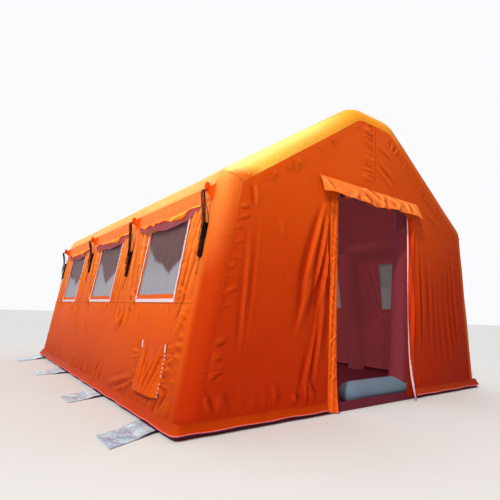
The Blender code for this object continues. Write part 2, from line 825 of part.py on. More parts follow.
def anchor_flaps(parts, helpers, material):
    for name, side in SIDES.items():
        for index in range(ARCHES):
            flap = anchor_flap(f"anchor_flap_{name}_{index + 1}", side, index, parts, material)
            out = ANCHOR_PLACES[index][2] - ANCHOR_EYELET_INSET
            x = side * (anchor_hinge_x() + out)
            y = sum(anchor_edges(side, index, out)) / 2
            ends = Vector((x, y, -ANCHOR_ROOT_HEIGHT)), Vector((x, y, 2 * ANCHOR_ROOT_HEIGHT))
            punch = cylinder(f"eyelet_punch_{name}_{index + 1}", *ends, ANCHOR_EYELET, 12, helpers)
            combine(flap, punch, "DIFFERENCE")


def anchor_roots(floor, helpers):
    """Short tongues of the groundsheet under the skirt, which the anchor flaps are sewn to."""
    for name, side in SIDES.items():
        for index in range(ARCHES):
            low, high = anchor_edges(side, index, 0)
            inner = FLOOR_HALF_WIDTH - ANCHOR_ROOT_HEIGHT * math.tan(WALL_LEAN) - GROUND_CLOTH / 2
            outer = anchor_hinge_x()
            bpy.ops.mesh.primitive_cube_add(size=1)
            root = bpy.context.active_object
            root.name = f"anchor_root_{name}_{index + 1}"
            for home in list(root.users_collection):
                home.objects.unlink(root)
            middle = ANCHOR_ROOT_HEIGHT - ANCHOR_THICKNESS / 2
            root.location = (side * (inner + outer) / 2, (low + high) / 2, middle)
            root.scale = (outer - inner, high - low, ANCHOR_THICKNESS)
            place(root, helpers)
            combine(floor, root, "UNION")


def arc(centre, radius, start, end, steps):
    """Points along an arc, angles in degrees."""
    angles = [math.radians(start + (end - start) * i / steps) for i in range(steps + 1)]
    return [(centre[0] + radius * math.cos(a), centre[1] + radius * math.sin(a)) for a in angles]


def tab_frame(side, index):
    """Axes of a guy tab: X out of the wall, Y up the cloth, Z along the tent."""
    wall = wall_frame(side)
    out, up, along = wall.col[2], wall.col[1], wall.col[0]
    axes = Matrix((out, up, -along, (0, 0, 0, 1))).transposed()
    base = on_wall(side, arch_y(index) + TAB_OFFSETS[index], 0, FIT)
    return Matrix.Translation(base) @ axes


def tab_eye():
    """Middle of a tab's eyelet in the tab's own axes."""
    return TAB_LENGTH - TAB_TIP_RADIUS, TAB_TIP


def guy_tabs(parts, material):
    """Three-cornered fins sewn up the wall under the eaves, each with an eyelet for its guy line."""
    eye = tab_eye()
    outline = [(0, TAB_BOTTOM), *arc(eye, TAB_TIP_RADIUS, -55, 62, 5), (0, TAB_TOP)]
    eyelet = arc(eye, TAB_EYELET, 0, 330, 11)
    for name, side in SIDES.items():
        for index in range(ARCHES):
            label = f"guy_tab_{name}_{index + 1}"
            flat_panel(label, [outline, eyelet], CLOTH, tab_frame(side, index), parts, material)


# Guy lines


def hank_step():
    """Spacing of the turns at the ends of the hank, wide enough to clear at its waist."""
    return (CORD_DIAMETER + CORD_GAP) / (1 - HANK_WAIST)


def hank_outer_radius():
    return HANK_INNER_RADIUS + hank_step() * HANK_TURNS / HANK_LAYERS


def hank_point(turn):
    """(across, up, out) of the cord at a turn count; whole turns lie halfway down the first run."""
    span = HANK_TURNS / HANK_LAYERS
    swing = max(0, min(HANK_TURNS, turn)) % (2 * span)
    radius = hank_outer_radius() - hank_step() * min(swing, 2 * span - swing)
    layer = 0
    for k in range(1, HANK_LAYERS):
        share = max(0, min(1, (turn - k * span + 0.25) / 0.5))
        layer += share * share * (3 - 2 * share)
    half = HANK_RUN / 2
    run_share = half / (4 * half + 2 * math.pi * radius)
    place_in_turn = turn % 1
    if place_in_turn < run_share or place_in_turn > 1 - run_share:
        offset = place_in_turn if place_in_turn < run_share else place_in_turn - 1
        across, up = radius, -half * offset / run_share
    elif abs(place_in_turn - 0.5) < run_share:
        across, up = -radius, half * (place_in_turn - 0.5) / run_share
    else:
        lower = place_in_turn < 0.5
        share = (place_in_turn - (run_share if lower else 0.5 + run_share)) / (0.5 - 2 * run_share)
        angle = math.pi * share
        across = radius * math.cos(angle) * (1 if lower else -1)
        up = (-half - radius * math.sin(angle)) if lower else (half + radius * math.sin(angle))
    drawn_in = 1 - HANK_WAIST * math.cos(math.pi / 2 * min(1, abs(up) / half)) ** 2
    out = FIT + CORD_DIAMETER / 2 + layer * (CORD_DIAMETER + CORD_GAP)
    return across * drawn_in, up, out


def hank_stations():
    """Turn counts at which the cord has a point: six steps round each end and three down each run."""
    run_share = HANK_RUN / 2 / (2 * HANK_RUN + math.pi * (HANK_INNER_RADIUS + hank_outer_radius()))
    stations = [-run_share * 0.98, -run_share / 2]
    for half_turn in range(2 * HANK_TURNS):
        base = half_turn / 2
        stations += [base, base + run_share * 0.6]
        arc_start, arc_end = base + run_share, base + 0.5 - run_share
        stations += [arc_start + (arc_end - arc_start) * i / 5 for i in range(6)]
        stations += [base + 0.5 - run_share * 0.6]
    return stations + [HANK_TURNS, HANK_TURNS + run_share * 0.5, HANK_TURNS + run_share * 0.98]


def hank_route():
    """The hank's cord in its own axes, from the line above it to the end of its tail."""
    turns = [Vector(hank_point(turn)) for turn in hank_stations()]
    lead = turns[0] + Vector((0, 2 * CORD_DIAMETER, 0))
    tail = [turns[-1] + Vector((0, -TAIL_LENGTH * share, 0)) for share in (0.1, 0.4, 0.7, 1)]
    return [lead, *turns, *tail]


def least_gap(route, diameter):
    """Least clear distance between stretches of a cord that aren't neighbours along it."""
    dense = []
    for a, b in zip(route, route[1:]):
        dense += [a.lerp(b, i / 4) for i in range(4)]
    points = np.array(dense)
    travel = np.concatenate([[0], np.cumsum(np.linalg.norm(np.diff(points, axis=0), axis=1))])
    apart = np.linalg.norm(points[:, None] - points[None], axis=2)
    near = np.abs(travel[:, None] - travel[None]) < 6 * diameter
    return float(apart[~near].min()) - diameter


def guy_lines(parts, material):
    """A line from each left tab down to a hank of cord that lies on the wall below it."""
    route = hank_route()
    print(f"hank least gap {least_gap(route, CORD_DIAMETER) * 1000:.2f} mm")
    print(f"cord in one hank and its tail {length_of(route):.3f} m")
    for index in range(ARCHES):
        y = arch_y(index) + TAB_OFFSETS[index]
        middle = HANK_TOPS[index] - HANK_RUN / 2 - hank_outer_radius()
        points = [on_wall(-1, y - p.x + hank_outer_radius(), middle + p.y, p.z) for p in route]
        tube(f"guy_hank_{index + 1}", points, CORD_DIAMETER / 2, CORD_SIDES, parts, material)
        line = line_points(index, points[0], points[1])
        tube(f"guy_line_{index + 1}", line, CORD_DIAMETER / 2, ROLL_SIDES, parts, material)
        print(f"cord above hank {index + 1}: {length_of(line):.3f} m")


def length_of(points):
    return sum((b - a).length for a, b in zip(points, points[1:]))


def line_points(index, hank_start, hank_next):
    """The free stretch from a tab's tip to the top of its hank, on one smooth curve."""
    tip = Vector((tab_eye()[0] + TAB_TIP_RADIUS + FIT + CORD_DIAMETER / 2, TAB_TIP, 0))
    start = tab_frame(-1, index) @ tip
    arrive = (hank_next - hank_start).normalized()
    end = hank_start - arrive * FIT
    pull = (end - start).length / 3
    down = -tab_frame(-1, index).col[1].xyz
    controls = [start, start + down * pull, end - arrive * pull, end]
    return [bezier(controls, i / 16) for i in range(17)]


def bezier(controls, t):
    a, b, c, d = controls
    s = 1 - t
    return a * s**3 + b * (3 * s * s * t) + c * (3 * s * t * t) + d * t**3


def main():
    for obj in list(bpy.data.objects):
        bpy.data.objects.remove(obj)
    scene = bpy.context.scene.collection
    parts = bpy.data.collections.new("inflatable_tent")
    helpers = bpy.data.collections.new("cutters")
    scene.children.link(parts)
    scene.children.link(helpers)

    orange = new_material("orange_cloth", (0.85, 0.15, 0.01), 0.5)
    air_cloth = new_material("white_air_cloth", (0.78, 0.76, 0.78), 0.4)
    lining = new_material("orange_air_cloth", (0.72, 0.2, 0.06), 0.45)
    maroon = new_material("maroon_ground_cloth", (0.16, 0.03, 0.06), 0.45)
    net = new_material("grey_net", (0.3, 0.3, 0.32), 0.7)
    silver = new_material("silver_flap", (0.72, 0.74, 0.78), 0.3, 0.6)
    cord = new_material("dark_cord", (0.03, 0.02, 0.025), 0.7)
    plastic = new_material("grey_plastic", (0.2, 0.2, 0.21), 0.4)
    black_plastic = new_material("black_plastic", (0.02, 0.02, 0.02), 0.4)

    air_frame(parts, helpers, lining)
    door_posts(parts, helpers, air_cloth)
    valves(parts, plastic, black_plastic)
    roof(parts, orange)
    side_walls(parts, orange)
    corner_sleeves(parts, orange)
    gables(parts, orange)
    anchor_roots(groundsheet(parts, maroon), helpers)
    ground_skirt(parts, orange)
    windows(parts, net, orange)
    doorway(parts, orange)
    service_flap(parts, orange)
    anchor_flaps(parts, helpers, silver)
    guy_tabs(parts, orange)
    guy_lines(parts, cord)


main()
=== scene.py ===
"""Looks of the inflatable shelter tent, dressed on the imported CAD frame.

Metres, +Z up, the door end at -Y. The sheets and cords repeat the sizes of the CAD source.
"""

import math

import bpy
import numpy as np
from mathutils import Matrix, Vector


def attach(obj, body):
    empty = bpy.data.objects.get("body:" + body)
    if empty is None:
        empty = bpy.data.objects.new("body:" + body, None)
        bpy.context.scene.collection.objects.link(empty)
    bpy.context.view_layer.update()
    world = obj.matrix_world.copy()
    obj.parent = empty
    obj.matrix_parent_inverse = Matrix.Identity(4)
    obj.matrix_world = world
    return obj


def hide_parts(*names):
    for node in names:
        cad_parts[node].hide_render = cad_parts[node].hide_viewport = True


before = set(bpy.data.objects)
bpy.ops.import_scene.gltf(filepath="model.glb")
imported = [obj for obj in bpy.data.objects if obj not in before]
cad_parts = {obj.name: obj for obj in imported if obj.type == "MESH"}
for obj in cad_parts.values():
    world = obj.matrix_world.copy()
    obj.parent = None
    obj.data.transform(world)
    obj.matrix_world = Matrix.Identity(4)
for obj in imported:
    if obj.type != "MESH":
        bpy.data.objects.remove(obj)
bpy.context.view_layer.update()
rng = np.random.default_rng(11)

# Sizes that the CAD source has too
FLOOR_HALF_WIDTH = 2.0
EAVE_HALF_WIDTH = 1.71
EAVE_HEIGHT = 1.93
RIDGE_HALF_WIDTH = 0.28
RIDGE_HEIGHT = 2.93
CORNER_CUT = 0.06
ARCHES = 4
BAY_LENGTH = 1.73
BEAM_RADIUS = 0.125
TIE_BEAM_RADIUS = 0.1
CLOTH = 0.004
FIT = 0.0003
HEM_HEIGHT = 0.035
SEAM_LAP = 0.02
FRAME_INSET = CLOTH + 0.003 + BEAM_RADIUS
HALF_LENGTH = BAY_LENGTH * (ARCHES - 1) / 2 + FRAME_INSET
WALL_LEAN = math.atan2(FLOOR_HALF_WIDTH - EAVE_HALF_WIDTH, EAVE_HEIGHT)
WALL_LENGTH = math.hypot(FLOOR_HALF_WIDTH - EAVE_HALF_WIDTH, EAVE_HEIGHT)
WALL_HEM = HEM_HEIGHT / math.cos(WALL_LEAN)
ROOF_SEAM = WALL_LENGTH - CORNER_CUT - 0.05
PANEL_HALF = BAY_LENGTH * (ARCHES - 1) / 2 - SEAM_LAP - FIT
SLEEVE_WIDTH = 0.247
DOOR_HALF_WIDTH = 0.53
DOOR_HEIGHT = 1.94
SILL_HEIGHT = 0.085
WINDOW_WIDTH = 0.82
WINDOW_BOTTOM = 0.985
WINDOW_TOP = 1.6
WINDOW_SHIFT = -0.09
PORT = (0.675 - HALF_LENGTH, 0.3, 0.27, 0.53)
SIDES = {"left": -1, "right": 1}
TAB_OFFSETS = (0, -0.09, -0.11, -0.04)
TAB_TOP, TAB_BOTTOM, TAB_TIP = 1.845, 1.705, 1.765
TAB_LENGTH, TAB_TIP_RADIUS, TAB_EYELET = 0.08, 0.016, 0.006

# Sizes of the looks alone
FLOOR_TOP = 0.0046
ARCH_FOOT = 0.0045
TUBE_GAP = 0.0004
FOLD_DEPTH = 0.008
BAND_HEIGHT = 0.91
MIDDLE = (0, 0, 1.2)
BELOW = (0, 0, -9)


# Measuring out the tent


def unit(value):
    """A value held between 0 and 1."""
    return np.clip(value, 0, 1)


def bell(value, middle, width):
    return np.exp(-(((value - middle) / width) ** 2))


def grid(*parts):
    """Coordinates side by side, as one array of places."""
    return np.stack(np.broadcast_arrays(*parts), axis=-1)


def travel_along(chain):
    """How far along a chain of points each of them lies."""
    return np.concatenate([[0], np.cumsum(np.linalg.norm(np.diff(chain, axis=0), axis=1))])


def arch_y(index):
    return (index - (ARCHES - 1) / 2) * BAY_LENGTH


def bay_y(bay):
    return arch_y(bay) + BAY_LENGTH / 2


def tab_y(index):
    return arch_y(index) + TAB_OFFSETS[index]


def window_y(bay):
    return bay_y(bay) + WINDOW_SHIFT


def window_edges(bay):
    return window_y(bay) - WINDOW_WIDTH / 2, window_y(bay) + WINDOW_WIDTH / 2


def section(inward, foot):
    """The tent's outline this far inside the cloth's outer face, as (x, z) points."""
    base, eave = (-FLOOR_HALF_WIDTH, 0), (-EAVE_HALF_WIDTH, EAVE_HEIGHT)
    left = [Vector(p) for p in (base, eave, (-RIDGE_HALF_WIDTH, RIDGE_HEIGHT), (0, RIDGE_HEIGHT))]
    half = [left[0]]
    for before, corner, after in zip(left, left[1:], left[2:]):
        half.append(corner + (before - corner).normalized() * CORNER_CUT)
        half.append(corner + (after - corner).normalized() * CORNER_CUT)
    outline = half + [Vector((-p.x, p.y)) for p in reversed(half)]
    sides = [(b - a).normalized() for a, b in zip(outline, outline[1:])]
    inner = [Vector((side.y, -side.x)) for side in sides]
    moved = []
    for corner, first, second in zip(outline[1:-1], inner, inner[1:]):
        moved.append(corner + (first + second) * (inward / (1 + first.dot(second))))
    start = outline[0] + inner[0] * inward
    start += sides[0] * ((foot - start.y) / sides[0].y)
    return [start, *moved, Vector((-start.x, start.y))]


def step_counts(corners, step, least):
    return [max(least, round((b - a).length / step)) for a, b in zip(corners, corners[1:])]


def outline_chain(corners, counts, softer=0):
    """Corners joined by this many even steps each, with the bends softened a number of times."""
    chain = [np.array(corners[0])]
    for a, b, count in zip(corners, corners[1:], counts):
        chain += [np.array(a.lerp(b, (i + 1) / count)) for i in range(count)]
    chain = np.array(chain)
    for _ in range(softer):
        chain[1:-1] = (chain[:-2] + 2 * chain[1:-1] + chain[2:]) / 4
    return chain


def on_wall(side, y, up, out):
    """Places on a side wall: y along the tent, up the cloth, out of it."""
    x = side * (FLOOR_HALF_WIDTH - up * math.sin(WALL_LEAN) + out * math.cos(WALL_LEAN))
    return grid(x, y, up * math.cos(WALL_LEAN) + out * math.sin(WALL_LEAN))


def wall_spot(side, y, up, out):
    return Vector(on_wall(side, y, up, out).tolist())


# Folds in cloth: a ridge with a hollow beside it, from one place to another


def fold_height(across, up, folds):
    height = np.zeros(np.broadcast(across, up).shape)
    for x0, y0, x1, y1, width, rise in folds:
        run = math.hypot(x1 - x0, y1 - y0)
        tx, ty = (x1 - x0) / run, (y1 - y0) / run
        share = ((across - x0) * tx + (up - y0) * ty) / run
        away = ((across - x0) * ty - (up - y0) * tx) / width
        ends = np.where((share > 0) & (share < 1), np.sin(np.pi * unit(share)) ** 0.8, 0)
        height += rise * ends * (bell(away, 0, 1) - 0.55 * bell(away, 1.5, 1))
    return height


def puckers(x0, y0, x1, y1, count, length, width, rise, way):
    """Short folds that run out of a seam on one side of it, unevenly spaced."""
    made = []
    for share in np.sort(rng.uniform(0.02, 0.98, count)):
        x, y = x0 + (x1 - x0) * share, y0 + (y1 - y0) * share
        reach = length * rng.uniform(0.4, 1.3)
        turn = way + rng.uniform(-0.35, 0.35)
        ends = x + reach * math.cos(turn), y + reach * math.sin(turn)
        made.append((x, y, *ends, width * rng.uniform(0.7, 1.3), rise * rng.uniform(0.4, 1.2)))
    return made


def swell(across, up, step_across, step_up, rise, seed):
    """A slow uneven wave over a whole sheet."""
    waves = np.random.default_rng(seed)
    total = np.zeros(np.broadcast(across, up).shape)
    for _ in range(5):
        a, b = waves.uniform(0.5, 1.5, 2)
        p, q = waves.uniform(0, 6.3, 2)
        total += np.sin(across * a * 6.3 / step_across + p) * np.sin(up * b * 6.3 / step_up + q)
    return total * rise / 2.5


# Shader maths


class Signal:
    """A shader value that takes part in arithmetic."""

    def __init__(self, finish, socket):
        self.finish = finish
        self.socket = socket

    def maths(self, operation, *values):
        return self.finish.node("ShaderNodeMath", {"operation": operation}, *values)

    def __add__(self, other):
        return self.maths("ADD", self, other)

    def __sub__(self, other):
        return self.maths("SUBTRACT", self, other)

    def __rsub__(self, other):
        return self.maths("SUBTRACT", other, self)

    def __mul__(self, other):
        return self.maths("MULTIPLY", self, other)

    def __truediv__(self, other):
        return self.maths("DIVIDE", self, other)

    def __abs__(self):
        return self.maths("ABSOLUTE", self)

    __radd__ = __add__

    def over(self, edge, blur):
        """1 where the value is above an edge, 0 below it, soft over the blur."""
        named = {"Value": self, "From Min": edge - blur / 2, "From Max": edge + blur / 2}
        return self.finish.node("ShaderNodeMapRange", {"interpolation_type": "SMOOTHSTEP"}, **named)

    def near(self, middle, reach, blur):
        """1 within a reach of a middle value."""
        return 1 - abs(self - middle).over(reach, blur)


class Finish:
    """One procedural material, written as expressions."""

    def __init__(self, name, glow=None, **settings):
        self.material = bpy.data.materials.new(name)
        self.material.use_nodes = True
        self.tree = self.material.node_tree
        self.shader = self.tree.nodes["Principled BSDF"]
        if glow:
            settings.update(Emission_Color=(*glow, 1), Emission_Strength=1)
        for socket, value in settings.items():
            self.shader.inputs[socket.replace("_", " ")].default_value = value

    def node(self, kind, settings=None, *values, output=None, **named):
        made = self.tree.nodes.new(kind)
        for key, value in (settings or {}).items():
            if key == "stops":
                ramp = made.color_ramp
                while len(ramp.elements) < len(value):
                    ramp.elements.new(0.5)
                for element, (position, colour) in zip(ramp.elements, value):
                    element.position = position
                    element.color = (*colour, 1)
            else:
                setattr(made, key, value)
        open_inputs = [socket for socket in made.inputs if socket.enabled]
        for key, value in [*enumerate(values), *named.items()]:
            if isinstance(key, int):
                socket = open_inputs[key]
            else:
                socket = next(s for s in open_inputs if s.name == key)
            if isinstance(value, Signal):
                self.tree.links.new(value.socket, socket)
            else:
                socket.default_value = value
        outputs = [socket for socket in made.outputs if socket.enabled]
        return Signal(self, next((s for s in outputs if s.name == output), outputs[0]))

    def place(self, scale=(1, 1, 1), source="Object"):
        at = self.node("ShaderNodeTexCoord", None, output=source)
        return self.node("ShaderNodeMapping", None, Vector=at, Scale=scale)

    def axis(self, name, source="UV"):
        at = self.node("ShaderNodeTexCoord", None, output=source)
        return self.node("ShaderNodeSeparateXYZ", None, at, output=name)

    def fold(self):
        """How far the place stands out of the cloth round it."""
        return self.node("ShaderNodeAttribute", {"attribute_name": "fold"}, output="Fac")

    def noise(self, at, scale, detail=3.0, roughness=0.5, distortion=0.0):
        named = {"Detail": detail, "Roughness": roughness, "Distortion": distortion}
        return self.node("ShaderNodeTexNoise", None, Vector=at, Scale=scale, **named)

    def wave(self, at, scale, distortion=0.0, direction="X"):
        settings = {"wave_type": "BANDS", "bands_direction": direction}
        named = {"Vector": at, "Scale": scale, "Distortion": distortion, "Detail Scale": 1.5}
        return self.node("ShaderNodeTexWave", settings, **named)

    def by_height(self, tones):
        """Colours by height above the ground, from (height, colour) steps."""
        stops = [(height / RIDGE_HEIGHT, colour) for height, colour in tones]
        return self.node("ShaderNodeValToRGB", {"stops": stops}, self.axis("Z", "Object") / RIDGE_HEIGHT)

    def mix(self, share, first, second, blend="MIX"):
        settings = {"data_type": "RGBA", "blend_type": blend}
        first, second = [(*c, 1) if isinstance(c, tuple) else c for c in (first, second)]
        return self.node("ShaderNodeMix", settings, share, first, second)

    def bump(self, height, distance, strength):
        return self.node("ShaderNodeBump", None, Height=height, Distance=distance, Strength=strength)

    def set(self, **inputs):
        for name, value in inputs.items():
            self.tree.links.new(value.socket, self.shader.inputs[name.replace("_", " ")])
        return self.material


def coated_cloth(
    name,
    tones,
    roughness=0.52,
    crumple=1.0,
    seams_up=(),
    seams_across=(),
    dim=0.0,
    lee=None,
    glow=None,
    sides=(),
):
    """Polyurethane-coated oxford cloth: a fine weave, small creases, faded patches and dark sewn seams.

    tones is one colour, or (height, colour) steps from painted shade at the foot to a painted sunlight
    highlight on the roof. dim paints shade that darkens the cloth towards the side away from the light, lee
    is the colour beyond the ridge where the painted highlight stops, glow is painted light that stands in
    for daylight coming through the cloth, and sides are the steps of the cloths beside a sleeve. The fold
    attribute paints a highlight on ridges and shade in hollows.
    """
    cloth = Finish(name, glow, Roughness=roughness, Specular_IOR_Level=0.025)
    room, flat = cloth.place(), cloth.place(source="UV")
    across, up = cloth.axis("X"), cloth.axis("Y")
    shade = tones
    if isinstance(tones[0], tuple):
        # Painted shade low down and painted sunlight highlight high up, by height.
        shade = cloth.by_height(tones)
        # A sleeve's margins take the painted height colours of the cloths beside it.
        for margin, reach, beside in zip((up, SLEEVE_WIDTH - up), (0.055, 0.1), sides):
            shade = cloth.mix((reach - margin).over(0, reach * 1.5), shade, cloth.by_height(beside))
        # Beyond the ridge the colour without the painted sunlight highlight: a painted unlit side.
        if lee:
            shade = cloth.mix(cloth.axis("X", "Object").over(0.32, 0.36), shade, lee)
    broad = cloth.noise(room, 1.3, 3.0, 0.55)
    fade = cloth.noise(room, 7.0, 4.0, 0.6)
    creases = cloth.noise(cloth.place((3.2, 1.5, 1), "UV"), 2.4, 5.0, 0.62, 1.4)
    fine = cloth.noise(cloth.place((9, 5, 1), "UV"), 3.5, 4.0, 0.6, 0.8)
    weave = cloth.wave(flat, 260) + cloth.wave(flat, 260, direction="Y")
    shade = cloth.mix(broad.over(0.52, 0.5) * 0.5, shade, (0.92, 0.76, 0.7), "MULTIPLY")
    # dim paints shade: darker towards +X, the side away from the key light.
    if dim:
        shaded_side = cloth.axis("X", "Object").over(0.95, 2.6)
        shade = cloth.mix(shaded_side * dim, shade, (0.3, 0.12, 0.25), "MULTIPLY")
    # Painted highlight on fold ridges and painted shade in fold hollows, from the fold attribute.
    fold = cloth.fold()
    shade = cloth.mix(fold.over(0.48, 0.84) * 0.65, shade, (1.12, 1.6, 2.0), "MULTIPLY")
    shade = cloth.mix((0 - fold).over(0.4, 0.76) * 0.7, shade, (0.5, 0.26, 0.3), "MULTIPLY")
    relief = abs(creases - 0.5) * crumple + fine * 0.28 * crumple + weave * 0.012
    seams = [up.near(run, 0.004, 0.004) for run in seams_up]
    for run, start, end in seams_across:
        seams.append(across.near(run, 0.004, 0.004) * up.near((start + end) / 2, (end - start) / 2, 0.02))
    for stitched in seams:
        shade = cloth.mix(stitched * 0.6, shade, (0.3, 0.25, 0.3), "MULTIPLY")
        relief = relief - stitched * 0.35
    gloss = roughness + (fade - 0.5) * 0.12
    return cloth.set(Base_Color=shade, Roughness=gloss, Normal=cloth.bump(relief, 0.012, 0.55))


def silver_cloth():
    foil = Finish("silver_foil_cloth", Metallic=0.3, Specular_IOR_Level=0.5)
    room = foil.place()
    crumple = foil.noise(room, 7, 4.0, 0.55, 0.8)
    scuffs = foil.noise(room, 30, 4.0, 0.65)
    glare = foil.noise(room, 16, 3.0, 0.6, 1.2)
    tint = foil.mix(crumple.over(0.5, 0.3), (0.39, 0.57, 0.76), (0.66, 0.92, 1.0))
    # Painted highlight: near-white glare spots.
    tint = foil.mix(glare.over(0.6, 0.06) * 0.8, tint, (0.9, 0.97, 1.0))
    tint = foil.mix(scuffs.over(0.66, 0.12) * 0.4, tint, (0.3, 0.32, 0.4))
    # Painted shade in the fold hollows.
    tint = foil.mix((0 - foil.fold()).over(0.3, 0.5) * 0.6, tint, (0.3, 0.34, 0.5))
    gloss = 0.34 + scuffs.over(0.55, 0.3) * 0.2
    return foil.set(Base_Color=tint, Roughness=gloss, Normal=foil.bump(abs(crumple - 0.5), 0.05, 0.8))


def braided_cord():
    braid = Finish("dark_braided_cord", Roughness=0.8, Specular_IOR_Level=0.15)
    strands = braid.wave(braid.place(), 420, 3.0, "DIAGONAL")
    tint = braid.mix(strands, (0.005, 0.003, 0.004), (0.022, 0.012, 0.016))
    return braid.set(Base_Color=tint, Normal=braid.bump(strands, 0.001, 0.8))


def window_film(name, glow=None):
    """Clear film over net: dark above, and milky below where an inner curtain hangs in folds."""
    film = Finish(name, glow, Specular_IOR_Level=0.2, Roughness=0.4)
    across, up = film.axis("X"), film.axis("Y")
    sway = film.noise(film.place(), 2.3)
    edge = 0.16 + abs(across + 0.12 + (sway - 0.5) * 0.5) * 0.5 + (sway - 0.5) * 0.12
    curtain = (edge - up).over(0.0, 0.06)
    hang = film.noise(film.place((9, 0.5, 1), "UV"), 3.0, 2.0)
    milky = film.mix(hang.over(0.5, 0.6), (0.19, 0.16, 0.185), (0.28, 0.255, 0.295))
    milky = film.mix((0.3 - up).over(0.0, 0.5) * 0.6, milky, (0.33, 0.33, 0.39))
    haze = film.noise(film.place(), 3.0, 4.0, 0.55)
    # The dark reddish colour of the film outside the curtain is painted shade: the shaded inside of the tent
    # painted on the mostly opaque film.
    clear = film.mix(haze.over(0.5, 0.5), (0.09, 0.03, 0.034), (0.13, 0.05, 0.056))
    relief = film.bump(hang * (0.4 + curtain), 0.006, 0.4)
    return film.set(Base_Color=film.mix(curtain, clear, milky), Alpha=0.82 + curtain * 0.12, Normal=relief)


def moulded_plastic(name, colour):
    plastic = Finish(name, Roughness=0.42)
    grain = plastic.noise(plastic.place(), 160)
    tint = plastic.mix(grain.over(0.5, 0.5) * 0.3, colour, tuple(c * 1.8 for c in colour))
    return plastic.set(Base_Color=tint, Normal=plastic.bump(grain, 0.0006, 0.4))


# Colours by height: darker towards the foot and lighter higher up, yellow to near white on the roof, the
# sleeves' tops and the steps beside them. Painted shade low down and painted sunlight highlight high up.
WALL_TONES = (
    (0.1, (0.46, 0.044, 0.002)),
    (0.75, (0.68, 0.088, 0.002)),
    (1.35, (0.78, 0.165, 0.018)),
    (1.78, (0.92, 0.22, 0.045)),
)
# The gable's steps are darker and redder than the side wall's for the same cloth: painted shade on the end
# wall.
GABLE_TONES = (
    (0.1, (0.48, 0.025, 0.002)),
    (1.2, (0.58, 0.046, 0.003)),
    (2.0, (0.73, 0.088, 0.005)),
    (2.7, (0.76, 0.1, 0.009)),
)
SLEEVE_TONES = (
    (0.1, (0.42, 0.026, 0.002)),
    (1.1, (0.52, 0.045, 0.003)),
    (1.75, (0.95, 0.27, 0.05)),
    (1.9, (1.0, 0.37, 0.08)),
    (1.95, (1.0, 0.98, 0.34)),
    (2.45, (1.0, 0.98, 0.28)),
    (2.8, (1.0, 0.5, 0.04)),
)
ROOF_TONES = (
    (1.9, (0.97, 0.45, 0.12)),
    (2.05, (1.0, 0.66, 0.28)),
    (2.8, (1.0, 0.48, 0.12)),
)
ROOF_SIDE = (*WALL_TONES, (1.92, (1.0, 0.5, 0.1)), (2.2, (1.0, 0.75, 0.2)), (2.8, (1.0, 0.42, 0.04)))
GABLE_SIDE = (
    *GABLE_TONES[:2],
    (1.9, (0.86, 0.17, 0.02)),
    (2.0, (1.0, 0.6, 0.08)),
    (2.8, (0.95, 0.34, 0.02)),
)
# The orange beyond the ridge, without the painted sunlight highlight: a painted unlit side.
UNLIT_SIDE_ORANGE = (0.8, 0.13, 0.008)
# Painted glow on the inside faces, standing in for daylight through the cloth.
INNER_GLOW = (0.09, 0.0155, 0.0175)
SLEEVE_LOOKS = {
    "seams_across": ((WALL_LENGTH - WALL_HEM, 0.0, 0.3),),
    "dim": 0.6,
    "lee": UNLIT_SIDE_ORANGE,
    "sides": (ROOF_SIDE, GABLE_SIDE),
}
# These cloths take the painted height colours; the gable and sleeves also take dim, painted shade towards +X.
wall_cloth = coated_cloth("orange_wall_cloth", WALL_TONES, seams_up=(BAND_HEIGHT,))
gable_cloth = coated_cloth("orange_gable_cloth", GABLE_TONES, seams_across=((0.0, 2.2, 2.8),), dim=0.62)
roof_cloth = coated_cloth("orange_roof_cloth", ROOF_TONES, crumple=0.7, lee=UNLIT_SIDE_ORANGE)
sleeve_cloth = coated_cloth("orange_sleeve_cloth", SLEEVE_TONES, 0.45, 0.45, **SLEEVE_LOOKS)
trim_cloth = coated_cloth("orange_trim_cloth", (0.86, 0.13, 0.005), crumple=1.2)
cover_cloth = coated_cloth("orange_cover_cloth", (0.9, 0.24, 0.04), crumple=1.2)
# A brighter copy of the cover cloth with painted glow: painted highlight and painted light through the cloth.
lit_cover_cloth = coated_cloth("backlit_cover_cloth", (1.0, 0.36, 0.04), crumple=1.2, glow=(0.3, 0.1, 0.008))
hood_cloth = coated_cloth("orange_hood_cloth", (0.93, 0.205, 0.033), 0.46)
hood_hem = coated_cloth("orange_hood_hem", (0.9, 0.17, 0.014), 0.46)
strip_cloth = coated_cloth("orange_strip_cloth", (0.8, 0.11, 0.008), 0.46)
# A darker red copy of the strip cloth: painted shade.
shaded_strip_cloth = coated_cloth("shaded_red_strip_cloth", (0.62, 0.04, 0.003), 0.46)
# A darker copy of the orange cloth: painted shade, matching the painted shade low on the wall.
flap_cloth = coated_cloth("orange_flap_cloth", (0.6, 0.07, 0.003), 0.46)
# Dark like the painted shade at the walls' foot, with dim painting more shade towards +X.
skirt_cloth = coated_cloth("orange_skirt_cloth", (0.46, 0.04, 0.0015), 0.46, dim=0.5)
piping_cloth = coated_cloth("lavender_piping", (0.42, 0.17, 0.24), 0.5, 0.5)
tongue_cloth = coated_cloth("bright_tongue_cloth", (0.95, 0.075, 0.008), 0.45, 0.5)
# The inside face of the orange cloth, dark red with painted glow: painted shade and painted light.
lining = coated_cloth("shaded_glowing_inner_face", (0.22, 0.028, 0.033), 0.55, 0.8, glow=INNER_GLOW)
# Dark for the rolled curtain under the hood: painted shade.
curtain_net = coated_cloth("curtain_net", (0.13, 0.03, 0.035), 0.6)
mauve_lining = coated_cloth("mauve_lining", (0.62, 0.17, 0.2), 0.5)
red_band = coated_cloth("red_binding", (0.9, 0.07, 0.006), 0.45)
white_tape = coated_cloth("white_tape", (0.74, 0.6, 0.66), 0.6, 0.6)
